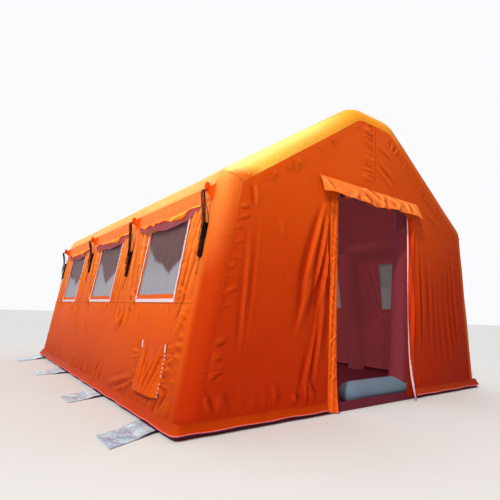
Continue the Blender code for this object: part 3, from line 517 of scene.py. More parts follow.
# The white tube given a dark blue-grey: painted shade under sky light.
air_cloth = coated_cloth("white_air_cloth", (0.14, 0.2, 0.28), 0.4, 0.6)
# The orange arches inside, dark maroon with painted glow: painted shade and painted light.
frame_cloth = coated_cloth("orange_air_cloth", (0.16, 0.022, 0.027), 0.5, 0.6, glow=INNER_GLOW)
# Dark with painted glow: painted shade, as the posts stand in the doorway's shadow, and painted light.
post_cloth = coated_cloth("post_air_cloth", (0.15, 0.024, 0.033), 0.5, 0.6, glow=(0.05, 0.0075, 0.011))
ground_cloth = coated_cloth("maroon_ground_cloth", (0.15, 0.022, 0.038), 0.36)
silver = silver_cloth()
silver_back = coated_cloth("silver_back", (0.3, 0.3, 0.32), 0.5)
cord_finish = braided_cord()
film = window_film("window_film")
# Painted light: the right-hand windows' film glows for the daylight through them.
lit_film = window_film("lit_window_film", (0.055, 0.06, 0.055))
grey_plastic = moulded_plastic("grey_plastic", (0.16, 0.16, 0.17))
black_plastic = moulded_plastic("black_plastic", (0.015, 0.015, 0.015))
dull_metal = Finish("dull_metal", Metallic=1.0, Roughness=0.4, Base_Color=(0.42, 0.42, 0.44, 1)).material


# Camera and studio


def new_object(name, data):
    obj = bpy.data.objects.new(name, data)
    bpy.context.scene.collection.objects.link(obj)
    return obj


def place_camera():
    yaw, pitch, roll = 0.667266113, 0.116604523, 0.031874861
    ahead = Vector((math.sin(yaw) * math.cos(pitch), math.cos(yaw) * math.cos(pitch), math.sin(pitch)))
    level = Vector((math.cos(yaw), -math.sin(yaw), 0))
    above = level.cross(ahead)
    right = level * math.cos(roll) + above * math.sin(roll)
    up = above * math.cos(roll) - level * math.sin(roll)
    data = bpy.data.cameras.new("camera")
    data.sensor_width = 36
    data.lens = 408.026887 * 36 / 500
    data.shift_x = -0.0651741
    data.shift_y = 0.0264572
    data.clip_end = 200
    camera = new_object("camera", data)
    axes = Matrix((right, up, -ahead)).transposed().to_4x4()
    camera.matrix_world = Matrix.Translation((-3.19223163, -5.3085407, 0.865674438)) @ axes
    bpy.context.scene.camera = camera


def add_light(name, kind, towards, energy, colour, at=(0, 0, 6), **settings):
    data = bpy.data.lights.new(name, kind)
    data.energy = energy
    data.color = colour
    for key, value in settings.items():
        setattr(data, key, value)
    lamp = new_object(name, data)
    lamp.location = at
    lamp.rotation_euler = Vector(towards).to_track_quat("-Z", "Y").to_euler()


def light_studio():
    """Sun over the left wall, a lamp on the front corner, and a sky that is darker to one side."""
    scene = bpy.context.scene
    scene.view_settings.view_transform = "Standard"
    scene.view_settings.look = "None"
    add_light("key_lamp", "SUN", (0.64, 0.29, -0.71), 2.45, (1, 0.97, 0.9), angle=0.07)
    inside = {"shape": "RECTANGLE", "size": 1.6, "size_y": 4.4}
    add_light("inside_glow", "AREA", (0, 0, -1), 36, (1, 0.86, 0.92), (0.1, 0.2, 2.3), **inside)
    near_lamp = {"shape": "DISK", "size": 0.6}
    add_light("front_lamp", "AREA", (3.6, 4.6, -3.2), 170, (1, 0.96, 0.9), (-5.0, -7.4, 5.0), **near_lamp)
    world = bpy.data.worlds.new("studio")
    scene.world = world
    world.use_nodes = True
    tree = world.node_tree
    way = tree.nodes.new("ShaderNodeTexCoord")
    turn = tree.nodes.new("ShaderNodeMapping")
    turn.vector_type = "TEXTURE"
    turn.inputs["Rotation"].default_value = (0, 0, math.radians(58))
    split = tree.nodes.new("ShaderNodeSeparateXYZ")
    ramp = tree.nodes.new("ShaderNodeMapRange")
    ramp.interpolation_type = "SMOOTHSTEP"
    for socket, value in (("From Min", -0.4), ("From Max", 0.4), ("To Min", 0.13), ("To Max", 0.98)):
        ramp.inputs[socket].default_value = value
    tree.links.new(way.outputs["Generated"], turn.inputs["Vector"])
    tree.links.new(turn.outputs["Vector"], split.inputs[0])
    tree.links.new(split.outputs["X"], ramp.inputs["Value"])
    tree.links.new(ramp.outputs[0], tree.nodes["Background"].inputs["Strength"])
    tree.nodes["Background"].inputs["Color"].default_value = (0.97, 0.98, 1, 1)


def lay_stage():
    floor_finish = Finish("pale_floor", Roughness=0.7, Specular_IOR_Level=0.2)
    soft = floor_finish.noise(floor_finish.place(), 0.6)
    floor_finish.set(Base_Color=floor_finish.mix(soft, (0.66, 0.665, 0.67), (0.7, 0.705, 0.71)))
    bpy.ops.mesh.primitive_plane_add(size=90, location=(0, 8, -0.001))
    floor = bpy.context.active_object
    floor.name = "studio_floor"
    bpy.ops.object.transform_apply(location=True)
    floor.data.materials.append(floor_finish.material)


# Making sheets


def pick(*objects):
    """Selects these objects alone, with the first one active."""
    bpy.ops.object.select_all(action="DESELECT")
    for obj in objects:
        obj.select_set(True)
    bpy.context.view_layer.objects.active = objects[0]


def finish_mesh(obj, angle=50):
    """Soft shading with the real edges kept."""
    pick(obj)
    bpy.ops.object.shade_smooth_by_angle(angle=math.radians(angle))
    obj.select_set(False)
    return obj


def grid_quads(rows, columns):
    index = np.arange(rows * columns).reshape(rows, columns)
    corners = index[:-1, :-1], index[:-1, 1:], index[1:, 1:], index[1:, :-1]
    return np.stack(corners, axis=-1).reshape(-1, 4)


def blurred(values, reach, axis):
    """A moving average along one axis of a grid."""
    kernel = np.ones(2 * reach + 1) / (2 * reach + 1)
    margins = [(reach, reach) if a == axis else (0, 0) for a in range(3)]
    padded = np.pad(values, margins, mode="edge")
    return np.apply_along_axis(np.convolve, axis, padded, kernel, "valid")


def fold_relief(points, fold_reach):
    """How far each place stands out of the cloth round it: up to 1 on a ridge, down to -1 in a hollow."""
    normal = np.cross(np.gradient(points, axis=1), np.gradient(points, axis=0))
    normal /= np.linalg.norm(normal, axis=2)[..., None] + 1e-12
    around = points
    for axis in (0, 1):
        spacing = float(np.median(np.linalg.norm(np.diff(points, axis=axis), axis=2)))
        reach = int(min(max(1, round(fold_reach / spacing)), max(1, points.shape[axis] // 4)))
        around = blurred(around, reach, axis)
    return np.clip(((points - around) * normal).sum(axis=2) / FOLD_DEPTH, -1, 1)


def cloth_object(
    name, points, flat, finishes, holes=(), zones=None, thickness=0.0015, away_from=MIDDLE, fold_reach=0.07
):
    """A thickened sheet from a grid of points; flat holds each point's two measures on the cut cloth.

    Holes are (low, high, low, high) in flat places. The last finish is that of the inner face, and zones
    gives the number of each spot's finish on the outer one, which looks away from the place away_from.
    """
    quads = grid_quads(*points.shape[:2])
    spots = points.reshape(-1, 3)
    places = grid(*flat).reshape(-1, 2)
    middles = places[quads].mean(axis=1)
    keep = np.ones(len(quads), bool)
    for a, b, c, d in holes:
        keep &= ~((middles[:, 0] > a) & (middles[:, 0] < b) & (middles[:, 1] > c) & (middles[:, 1] < d))
    quads = quads[keep]
    relief = fold_relief(points, fold_reach).reshape(-1)
    first, second = spots[quads[:, 2]] - spots[quads[:, 0]], spots[quads[:, 3]] - spots[quads[:, 1]]
    outward = np.cross(first, second) * (spots[quads].mean(axis=1) - np.array(away_from))
    if outward.sum() < 0:
        quads = quads[:, ::-1]
        relief = -relief
    used, renumbered = np.unique(quads, return_inverse=True)
    quads = renumbered.reshape(quads.shape)
    data = bpy.data.meshes.new(name)
    data.from_pydata(spots[used].tolist(), [], quads.tolist())
    layer = data.uv_layers.new(name="cut_cloth")
    layer.data.foreach_set("uv", places[used][quads].reshape(-1).astype(np.float32))
    fold = data.attributes.new("fold", "FLOAT", "POINT")
    fold.data.foreach_set("value", relief[used].astype(np.float32))
    obj = new_object(name, data)
    for finish in finishes:
        data.materials.append(finish)
    if zones is not None:
        middles = places[used][quads].mean(axis=1)
        data.polygons.foreach_set("material_index", zones(middles[:, 0], middles[:, 1]).astype(np.int32))
    if thickness:
        wall = obj.modifiers.new("Cloth", "SOLIDIFY")
        wall.thickness = thickness
        wall.offset = -1
        wall.material_offset = len(finishes) - 1
        wall.material_offset_rim = 0
        pick(obj)
        bpy.ops.object.modifier_apply(modifier=wall.name)
    return finish_mesh(obj)


def lines(low, high, step, through=()):
    """Evenly spread grid lines that also pass through given values."""
    stops = sorted({low, high, *[v for v in through if low < v < high]})
    made = [low]
    for a, b in zip(stops, stops[1:]):
        count = max(1, round((b - a) / step))
        made += [a + (b - a) * (i + 1) / count for i in range(count)]
    return np.array(made)


def dress(piece, body="tent", nodes=()):
    """Hands a finished piece to the frame: its body and the nodes that it stands for."""
    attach(piece, body)
    if nodes:
        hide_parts(*nodes)


def join(name, objects):
    """Several objects as one, with their own finishes kept."""
    pick(*objects)
    if len(objects) > 1:
        bpy.ops.object.join()
    joined = bpy.context.view_layer.objects.active
    joined.name = joined.data.name = name
    joined.select_set(False)
    return joined


# Guy lines with their hanks, first because they reach furthest

CORD_DIAMETER = 0.0045
CORD_GAP = 0.0011
HANK_TURNS = 6
HANK_LAYERS = 4
HANK_RUN = 0.23
HANK_INNER_RADIUS = 0.0138
HANK_WAIST = 0.15
HANK_STEP = (CORD_DIAMETER + CORD_GAP) / (1 - HANK_WAIST)
HANK_OUTER_RADIUS = HANK_INNER_RADIUS + HANK_STEP * HANK_TURNS / HANK_LAYERS
HANK_TOPS = (1.53, 1.46, 1.6, 1.58)
TAIL_LENGTH = 0.14
CORD_LENGTHS = (4.1, 4.17, 4.04, 4.06)
SLACK_LOOPS = ((0.1, 0.0125), (0.2, 0.0095), (0.05, 0.014), (0.14, 0.0105))
SLACK_STEPS = 40


def hank_point(turn):
    """(across, up, out) of the cord at a turn count."""
    span = HANK_TURNS / HANK_LAYERS
    swing = max(0, min(HANK_TURNS, turn)) % (2 * span)
    radius = HANK_OUTER_RADIUS - HANK_STEP * min(swing, 2 * span - swing)
    layer = 0
    for k in range(1, HANK_LAYERS):
        share = max(0, min(1, (turn - k * span + 0.25) / 0.5))
        layer += share * share * (3 - 2 * share)
    half = HANK_RUN / 2
    run_share = half / (4 * half + 2 * math.pi * radius)
    spot = turn % 1
    if spot < run_share or spot > 1 - run_share:
        offset = spot if spot < run_share else spot - 1
        across, up = radius, -half * offset / run_share
    elif abs(spot - 0.5) < run_share:
        across, up = -radius, half * (spot - 0.5) / run_share
    else:
        lower = spot < 0.5
        share = (spot - (run_share if lower else 0.5 + run_share)) / (0.5 - 2 * run_share)
        angle = math.pi * share
        across = radius * math.cos(angle) * (1 if lower else -1)
        up = (-half - radius * math.sin(angle)) if lower else (half + radius * math.sin(angle))
    drawn_in = 1 - HANK_WAIST * math.cos(math.pi / 2 * min(1, abs(up) / half)) ** 2
    return across * drawn_in, up, FIT + CORD_DIAMETER / 2 + layer * (CORD_DIAMETER + CORD_GAP)


def hank_route():
    run_share = HANK_RUN / 2 / (2 * HANK_RUN + math.pi * (HANK_INNER_RADIUS + HANK_OUTER_RADIUS))
    stations = [-run_share * 0.98, -run_share / 2]
    for half_turn in range(2 * HANK_TURNS):
        base = half_turn / 2
        stations += [base, base + run_share * 0.6]
        arc_start, arc_end = base + run_share, base + 0.5 - run_share
        stations += [arc_start + (arc_end - arc_start) * i / 7 for i in range(8)]
        stations += [base + 0.5 - run_share * 0.6]
    stations += [HANK_TURNS, HANK_TURNS + run_share * 0.5, HANK_TURNS + run_share * 0.98]
    turns = [Vector(hank_point(turn)) for turn in stations]
    lead = turns[0] + Vector((0, 2 * CORD_DIAMETER, 0))
    tail = []
    for share in (0.06, 0.14, 0.24, 0.36, 0.5, 0.64, 0.76, 0.88, 1):
        sway = 0.006 * math.sin(4.4 * share) * share
        tail.append(turns[-1] + Vector((sway, -TAIL_LENGTH * share, 0)))
    return [lead, *turns, *tail]


def tab_spot(index, reach, up):
    return wall_spot(-1, tab_y(index), up, FIT + reach)


def cord_object(name, points, diameter=CORD_DIAMETER):
    data = bpy.data.curves.new(name, "CURVE")
    data.dimensions = "3D"
    data.bevel_depth = diameter / 2
    data.bevel_resolution = 2
    data.use_fill_caps = True
    spline = data.splines.new("POLY")
    spline.points.add(len(points) - 1)
    for point, spot in zip(spline.points, points):
        point.co = (*spot, 1)
    data.materials.append(cord_finish)
    return new_object(name, data)


def cord_mesh(name, points, diameter=CORD_DIAMETER):
    obj = cord_object(name, points, diameter)
    pick(obj)
    bpy.ops.object.convert(target="MESH")
    return finish_mesh(obj)


def knot(name, middle, size):
    """An overhand knot drawn tight: three interlaced turns of the cord."""
    points = []
    for i in range(37):
        a = 2 * math.pi * i / 36
        x = math.sin(a) + 2 * math.sin(2 * a)
        y = math.cos(a) - 2 * math.cos(2 * a)
        z = -math.sin(3 * a)
        points.append(middle + Vector((z * 0.8 * size, x * 0.42 * size, y * 0.5 * size)))
    return cord_mesh(name, points)


def declare_cord(cord, spot, length, pieces):
    facts = {"exit": tuple(spot), "length": length, "diameter": CORD_DIAMETER, "with_pieces": pieces}


def guy_lines():
    """Each line leaves its tab's tip, drops to its hank on the wall, and ends in a knot."""
    route = hank_route()
    for index in range(ARCHES):
        number = index + 1
        edge = tab_y(index) + HANK_OUTER_RADIUS
        middle = HANK_TOPS[index] - HANK_RUN / 2 - HANK_OUTER_RADIUS
        hank = [wall_spot(-1, edge - p.x, middle + p.y, p.z) for p in route]
        start = tab_spot(index, TAB_LENGTH + FIT + CORD_DIAMETER / 2, TAB_TIP)
        arrive = (hank[1] - hank[0]).normalized()
        end = hank[0] - arrive * FIT
        pull = (end - start).length / 3
        down = tab_spot(index, 0, 0) - tab_spot(index, 0, 1)
        a, b, c, d = start, start + down.normalized() * pull, end - arrive * pull, end
        drop = []
        for i in range(17):
            t, s = i / 16, 1 - i / 16
            drop.append(a * s**3 + b * (3 * s * s * t) + c * (3 * s * t * t) + d * t**3)
        cord = cord_object(f"guy_cord_{number}", drop + hank)
        stop = knot(f"guy_cord_knot_{number}", hank[-1] + Vector((0, 0, -0.004)), 0.0032)
        dress(cord, nodes=(f"guy_line_{number}", f"guy_hank_{number}"))
        dress(stop)
        dress(eyelet_hitch(number, index))
        declare_cord(cord, start, CORD_LENGTHS[index], [stop])
        dress(hank_tie(number, edge, middle))
        loops, length = slack_loops(number, index)
        dress(loops)
        declare_cord(loops, loops.data.splines[0].points[0].co[:3], round(length, 3), [])


def slack_loops(number, index):
    """The spare cord hitched to the tab: loops of uneven length that hang over the hank's top."""
    proud = HANK_LAYERS * (CORD_DIAMETER + CORD_GAP) + CORD_DIAMETER + 0.003
    head, top = TAB_LENGTH + 0.004, TAB_TIP - 0.024
    arc = [math.pi * i / 10 for i in range(11)]
    chain = []
    for loop, (drop, half) in enumerate(SLACK_LOOPS):
        long = top - (HANK_TOPS[index] - drop)
        stadium = [(-half, -long * i / SLACK_STEPS) for i in range(SLACK_STEPS)]
        stadium += [(-half * math.cos(a), -long - half * math.sin(a)) for a in arc]
        stadium += [(half, -long * (1 - i / SLACK_STEPS)) for i in range(1, SLACK_STEPS)]
        over = SLACK_LOOPS[(loop + 1) % len(SLACK_LOOPS)][1]
        for i, a in enumerate(arc[:-1]):
            wide = half + (over - half) * i / 10
            stadium.append((wide * math.cos(a), half * math.sin(a)))
        if loop == len(SLACK_LOOPS) - 1:
            stadium = stadium[: 2 * SLACK_STEPS + 10]
        for i, (across, up) in enumerate(stadium):
            lift = proud + (CORD_DIAMETER + 0.0012) * (loop + i / len(stadium))
            share = min(1, max(0, -up / (top - HANK_TOPS[index] + 0.02)))
            out = lift + (head - proud) * (1 - share) ** 1.3
            chain.append(on_wall(-1, tab_y(index) + across, top + up, out))
    return cord_object(f"guy_loops_{number}", chain), float(travel_along(chain)[-1])


def eyelet_hitch(number, index):
    """The cord's hitch through the tab's eyelet: a ring round the tip and a knot below it."""
    eye = tab_spot(index, TAB_LENGTH - TAB_TIP_RADIUS, TAB_TIP)
    tip = tab_spot(index, TAB_LENGTH + 0.001, TAB_TIP - 0.006)
    out = (tip - eye).normalized()
    middle, reach = eye.lerp(tip, 0.5), (tip - eye).length / 2 + 0.003
    points = []
    for i in range(25):
        a = 2 * math.pi * i / 24
        points.append(middle + out * (reach * math.cos(a)) + Vector((0, 0.0065 * math.sin(a), 0)))
    below = tip + Vector((0, 0, -0.004))
    pieces = [cord_mesh(f"eyelet_loop_{number}", points), knot(f"hitch_{number}", below, 0.004)]
    return join(f"eyelet_hitch_{number}", pieces)


def hank_tie(number, edge, middle):
    """Six tight turns of cord round the middle of the hank, over its runs and under it."""
    half = HANK_OUTER_RADIUS * (1 - HANK_WAIST) + CORD_DIAMETER * 0.75
    high = HANK_LAYERS * (CORD_DIAMETER + CORD_GAP) + CORD_DIAMETER * 0.6
    points = []
    turns, steps = 6, 20
    for i in range(turns * steps + 1):
        along, over = math.cos(2 * math.pi * i / steps), math.sin(2 * math.pi * i / steps)
        across = half * math.copysign(abs(along) ** 0.55, along)
        out = high / 2 + high / 2 * math.copysign(abs(over) ** 0.55, over)
        up = middle + 0.045 - (CORD_DIAMETER + 0.0004) * i / steps
        points.append(wall_spot(-1, edge - across, up, max(0.001, out)))
    return cord_mesh(f"hank_tie_{number}", points, CORD_DIAMETER * 0.9)


# Skin

# Each row: the window's edge, then the fold's ends from there, its width and its rise
WINDOW_FOLDS = (
    (1, 0.03, 0.93, 0.24, 1.06, 0.02, 0.02),
    (1, 0.08, 0.82, 0.16, 1.02, 0.026, 0.02),
    (1, 0.02, 0.97, 0.2, 0.86, 0.016, 0.016),
    (0, -0.06, 0.96, -0.2, 1.7, 0.03, 0.026),
    (0, -0.14, 0.84, -0.27, 1.66, 0.028, 0.022),
    (0, -0.05, 1.25, -0.13, 1.76, 0.026, 0.024),
    (0, -0.2, 0.7, -0.31, 1.4, 0.03, 0.014),
    (1, 0.07, 1.05, 0.2, 1.7, 0.034, 0.026),
    (1, 0.16, 0.98, 0.25, 1.6, 0.03, 0.014),
)


def make_wall_folds():
    folds = {-1: [], 1: []}
    for made in folds.values():
        for bay in range(ARCHES - 1):
            edges = near, far = window_edges(bay)
            made += puckers(near - 0.07, 0.93, near - 0.07, 1.5, 5, 0.14, 0.016, 0.012, math.pi)
            made += puckers(near, 0.905, far, 0.905, 8, 0.1, 0.026, 0.012, -math.pi / 2)
            made += puckers(far + 0.06, 0.93, far + 0.06, 1.55, 6, 0.14, 0.016, 0.012, 0)
            for edge, start, low, end, high, width, rise in WINDOW_FOLDS:
                made.append((edges[edge] + start, low, edges[edge] + end, high, width, rise))
        for index in range(ARCHES):
            y = tab_y(index)
            made.append((y, 1.7, y - 0.16, 0.95, 0.034, 0.014))
            made.append((y, 1.72, y + 0.2, 1.2, 0.038, 0.014))
        made += puckers(-2.57, 0.06, 2.57, 0.06, 46, 0.24, 0.026, 0.011, math.pi / 2 + 0.5)
        made += puckers(-2.57, 1.82, 2.57, 1.82, 30, 0.1, 0.024, 0.006, -math.pi / 2)
        made += puckers(-2.56, 0.15, -2.56, 1.75, 24, 0.12, 0.015, 0.009, 0)
        made += puckers(2.56, 0.15, 2.56, 1.75, 24, 0.12, 0.015, 0.009, math.pi)
        for _ in range(24):
            y, up = rng.uniform(-2.4, 2.4), rng.uniform(0.2, 0.85)
            turn = rng.uniform(0.6, 2.3)
            reach = rng.uniform(0.12, 0.4)
            ends = y + reach * math.cos(turn), up + reach * math.sin(turn)
            made.append((y, up, *ends, rng.uniform(0.026, 0.04), rng.uniform(0.005, 0.012)))
    port_y = PORT[0]
    near, far = port_y - 0.25, port_y + 0.25
    left = folds[-1]
    left += puckers(near, 0.2, near, 0.58, 10, 0.17, 0.013, 0.015, math.pi)
    left += puckers(far, 0.2, far, 0.5, 7, 0.2, 0.015, 0.016, -0.25)
    left.append((far + 0.05, 0.3, far + 0.75, 0.12, 0.026, 0.014))
    left.append((far + 0.02, 0.24, far + 0.55, 0.08, 0.022, 0.014))
    left.append((near - 0.03, 0.62, near - 0.3, 0.98, 0.02, 0.012))
    left.append((port_y + 0.1, 0.62, port_y + 0.12, 0.9, 0.012, 0.008))
    left.append((-1.02, 0.62, -0.85, 0.85, 0.026, 0.02))
    left.append((-1.1, 0.84, -0.95, 0.66, 0.026, 0.016))
    return folds


wall_folds = make_wall_folds()


def slack_between(y):
    """0 at the arches and 1 halfway between them."""
    return np.sin(np.pi * np.clip((y - arch_y(0)) / BAY_LENGTH, 0, 3)) ** 2


def wall_relief(side, y, up):
    """How far a side wall stands out of its plane: pressed at the arches, slack between, with puckers."""
    out = swell(y, up, 1.4, 1.1, 0.0035, 5 + side)
    out = out - 0.006 * slack_between(y) * np.sin(np.pi * unit(up / 1.85))
    out += 0.004 * bell(up, BAND_HEIGHT, 0.012)
    out += fold_height(y, up, wall_folds[side])
    edge = np.minimum(unit((2.57 - np.abs(y)) / 0.03), unit((up - 0.036) / 0.05))
    edge = np.minimum(edge, unit((ROOF_SEAM - up) / 0.03))
    return np.maximum(out, -0.0025) * edge


def side_walls():
    for name, side in SIDES.items():
        holes = [(*window_edges(bay), WINDOW_BOTTOM, WINDOW_TOP) for bay in range(ARCHES - 1)]
        if name == "left":
            holes.append((PORT[0] - PORT[1] / 2, PORT[0] + PORT[1] / 2, PORT[2], PORT[3]))
        across = lines(-PANEL_HALF, PANEL_HALF, 0.024, [v for hole in holes for v in hole[:2]])
        step = 0.0105 if name == "left" else 0.018
        ups = lines(WALL_HEM, ROOF_SEAM, step, [v for hole in holes for v in hole[2:]])
        y, up = np.meshgrid(across, ups)
        points = on_wall(side, y, up, wall_relief(side, y, up))
        wall = cloth_object(f"wall_cloth_{name}", points, (y, up), [wall_cloth, lining], holes)
        dress(wall, nodes=(f"side_wall_{name}",))
        open_area = sum((b - a) * (d - c) for a, b, c, d in holes)
        cut = (2 * PANEL_HALF, ROOF_SEAM - WALL_HEM)
        cut[0] * cut[1] - open_area


def roof_cover():
    corners = section(0, (ROOF_SEAM + FIT) * math.cos(WALL_LEAN))
    chain = outline_chain(corners, step_counts(corners, 0.02, 1), softer=3)
    travel = travel_along(chain)
    y, run = np.meshgrid(lines(-PANEL_HALF, PANEL_HALF, 0.024, [arch_y(i) for i in range(ARCHES)]), travel)
    way = np.gradient(chain, axis=0)
    way /= np.linalg.norm(way, axis=1)[:, None]
    whole = travel[-1]
    slope = np.abs(np.sin(2 * np.pi * unit(run / whole))) ** 0.7
    out = -0.012 * slack_between(y) * slope + swell(y, run, 1.5, 1.2, 0.0025, 21)
    folds = []
    for seam in (0.03, whole - 0.03):
        turn = math.pi / 2 if seam < 1 else -math.pi / 2
        folds += puckers(-2.55, seam, 2.55, seam, 44, 0.16, 0.02, 0.004, turn)
    for index in range(ARCHES):
        for seam in (0.25, whole / 2, whole - 0.25):
            for offset, turn in ((-0.14, math.pi), (0.14, 0)):
                beside = arch_y(index) + offset
                folds += puckers(beside, seam - 0.2, beside, seam + 0.2, 4, 0.2, 0.02, 0.004, turn)
    out = out + fold_height(y, run, folds)
    edge = np.minimum(unit(run / 0.03), unit((whole - run) / 0.03))
    out = np.clip(out, -0.013, 0.012) * np.minimum(edge, unit((PANEL_HALF - np.abs(y)) / 0.04))
    x = chain[:, 0][:, None] - way[:, 1][:, None] * out
    z = chain[:, 1][:, None] + way[:, 0][:, None] * out
    cover = cloth_object("roof_cloth", grid(x, y, z), (y, run), [roof_cloth, lining])
    dress(cover, nodes=("roof_panel",))


def corner_sleeves():
    """Cloth drawn round the end arches: smooth and tight, creased at the eaves and gathered at its seams."""
    corners = section(0, HEM_HEIGHT)
    counts = step_counts(corners, 0.02, 3)
    travel = travel_along(outline_chain(corners, counts, softer=2))
    steps = 14
    turns = [math.pi / 2 * i / steps for i in range(steps + 1)]
    profile = [(0, -SEAM_LAP), (0, -SEAM_LAP / 2)]
    profile += [(FRAME_INSET * (1 - math.cos(a)), FRAME_INSET * math.sin(a)) for a in turns]
    profile += [(FRAME_INSET + SEAM_LAP / 2, FRAME_INSET), (FRAME_INSET + SEAM_LAP, FRAME_INSET)]
    reach = travel_along(np.array(profile))
    whole = travel[-1]
    eave = (corners[1] - corners[0]).length + CORNER_CUT
    along, over = np.meshgrid(travel, reach)
    for name, index, way in (("front", 0, -1), ("rear", ARCHES - 1, 1)):
        folds = puckers(0.1, 0.235, whole - 0.1, 0.235, 90, 0.06, 0.011, 0.006, -math.pi / 2)
        folds += puckers(0.1, 0.02, whole - 0.1, 0.02, 70, 0.05, 0.011, 0.003, math.pi / 2)
        for corner in (eave, whole - eave):
            folds += puckers(corner - 0.1, 0.1, corner + 0.1, 0.1, 5, 0.1, 0.012, 0.006, math.pi / 2)
            folds.append((corner - 0.03, 0.25, corner + 0.05, 0.03, 0.014, 0.006))
        lift = fold_height(along, over, folds) + swell(along, over, 0.9, 0.5, 0.0015, 31 + index)
        lift = np.clip(lift, -0.002, 0.008) * unit(np.minimum(over, reach[-1] - over) / 0.02)
        points = np.empty((len(profile), len(travel), 3))
        for row, (inward, out) in enumerate(profile):
            angle = math.atan2(out, max(1e-6, FRAME_INSET - inward)) if 0 < row < len(profile) - 1 else 0
            angle = min(max(angle, 0), math.pi / 2)
            ring = outline_chain(section(inward, HEM_HEIGHT), counts, softer=2)
            tangent = np.gradient(ring, axis=0)
            tangent /= np.linalg.norm(tangent, axis=1)[:, None]
            points[row, :, 0] = ring[:, 0] - tangent[:, 1] * lift[row] * math.cos(angle)
            points[row, :, 2] = ring[:, 1] + tangent[:, 0] * lift[row] * math.cos(angle)
            points[row, :, 1] = arch_y(index) + way * (out + lift[row] * math.sin(angle))
        finishes = [sleeve_cloth, lining]
        sleeve = cloth_object(f"sleeve_cloth_{name}", points, (along, over), finishes, fold_reach=0.022)
        dress(sleeve, nodes=(f"corner_sleeve_{name}",))


# Each row: the fold's start, its run from there, its width and its rise
GABLE_FOLDS = (
    (-0.02, 2.62, -0.17, 0.03, 0.018, 0.0175),
    (-0.02, 2.66, -0.16, 0.06, 0.018, 0.0175),
    (-0.03, 2.7, -0.14, 0.05, 0.018, 0.0154),
    (-0.02, 2.56, -0.15, 0.05, 0.018, 0.0131),
    (-0.02, 2.3, -0.17, -0.01, 0.018, 0.0175),
    (-0.02, 2.25, -0.18, 0, 0.018, 0.0175),
    (-0.02, 2.2, -0.2, 0.02, 0.018, 0.0154),
    (-0.02, 2.4, -0.16, 0.03, 0.018, 0.011),
    (-0.02, 2.46, -0.15, 0.04, 0.018, 0.011),
    (0.03, 2.35, 0.3, -0.18, 0.018, 0.011),
    (0.03, 2.45, 0.35, -0.2, 0.018, 0.0088),
    (0.03, 2.6, 0.26, -0.1, 0.018, 0.0088),
    (-0.645, 1.78, -0.16, -0.75, 0.026, 0.032),
    (-0.64, 1.62, -0.1, -0.85, 0.02, 0.027),
    (-0.66, 1.4, -0.16, -0.8, 0.024, 0.027),
    (-0.67, 1.1, -0.12, -0.85, 0.026, 0.0225),
    (-0.72, 1.55, -0.24, -0.8, 0.034, 0.018),
    (-0.82, 1.5, -0.18, -0.9, 0.03, 0.0158),
    (-0.72, 0.9, -0.2, -0.7, 0.026, 0.0175),
    (-0.68, 1.88, -0.3, -0.95, 0.036, 0.03),
    (-1.2, 1.62, 0.05, -0.16, 0.022, 0.008),
    (-1.45, 1.86, 0.02, -0.2, 0.02, 0.012),
    (-1.38, 1.6, -0.08, -1, 0.02, 0.006),
    (-1.48, 1.5, -0.06, -1, 0.018, 0.0131),
    (0.72, 1.75, 0.04, -1.35, 0.026, 0.018),
    (0.8, 1.7, 0.05, -1.2, 0.03, 0.0123),
    (0.68, 1.5, 0.02, -1.1, 0.018, 0.0198),
    (0.95, 1.5, 0.06, -1.2, 0.022, 0.0088),
    (1.05, 1.35, 0.08, -1.1, 0.018, 0.011),
    (1.15, 1.3, 0.1, -1, 0.018, 0.011),
    (1.25, 1.45, 0.14, -1.2, 0.018, 0.0131),
    (1.35, 1.5, 0.14, -1.1, 0.018, 0.0131),
    (1.42, 1.65, 0.15, -1.2, 0.018, 0.0131),
    (0.85, 2.05, 0.35, -0.15, 0.02, 0.0088),
    (0.9, 2.2, 0.3, -0.2, 0.018, 0.0088),
)


def half_width(z, edge):
    """Half the gable's width at a height, from its outline."""
    right = [p for p in edge if p.x >= -1e-6][::-1]
    return np.interp(z, [p.y for p in right], [p.x for p in right])


def rim_puckers(edge, rows, length, width, lean):
    """Puckers off a gable's outer seam on both sides, from rows of (low, high, count, rise)."""
    made = []
    for low, high, count, rise in rows:
        for side in (-1, 1):
            a, b = [(side * (float(half_width(z, edge)) - 0.012), z) for z in (low, high)]
            inwards = math.pi - lean if side == 1 else lean
            if low > 1:
                inwards = -math.pi / 2 - side * 0.5
            made += puckers(*a, *b, count, length, width, rise, inwards)
    return made


def gable_folds(name, edge):
    """The front wall's folds run off the sleeve seam, the middle seam, the hood and the doorway."""
    if name == "front":
        made = rim_puckers(edge, ((0.3, 1.75, 18, 0.01), (1.8, 2.78, 13, 0.013)), 0.11, 0.012, 0.25)
        made += [(x, z, x + dx, z + dz, width, rise) for x, z, dx, dz, width, rise in GABLE_FOLDS]
        made += puckers(-1.8, 0.13, -0.65, 0.13, 18, 0.16, 0.017, 0.011, math.pi / 2 + 0.4)
        made += puckers(0.68, 0.13, 1.8, 0.13, 12, 0.12, 0.016, 0.006, math.pi / 2 - 0.3)
        made += puckers(-0.01, 2.25, -0.01, 2.8, 16, 0.1, 0.01, 0.006, math.pi)
    else:
        made = rim_puckers(edge, ((0.3, 1.75, 26, 0.006), (1.8, 2.78, 26, 0.006)), 0.12, 0.016, 0.2)
        made += puckers(-1.8, 0.1, 1.8, 0.1, 40, 0.3, 0.022, 0.006, math.pi / 2)
        made += puckers(-1.2, 1.5, 1.2, 1.5, 12, 0.7, 0.035, 0.005, -math.pi / 2)
    return made


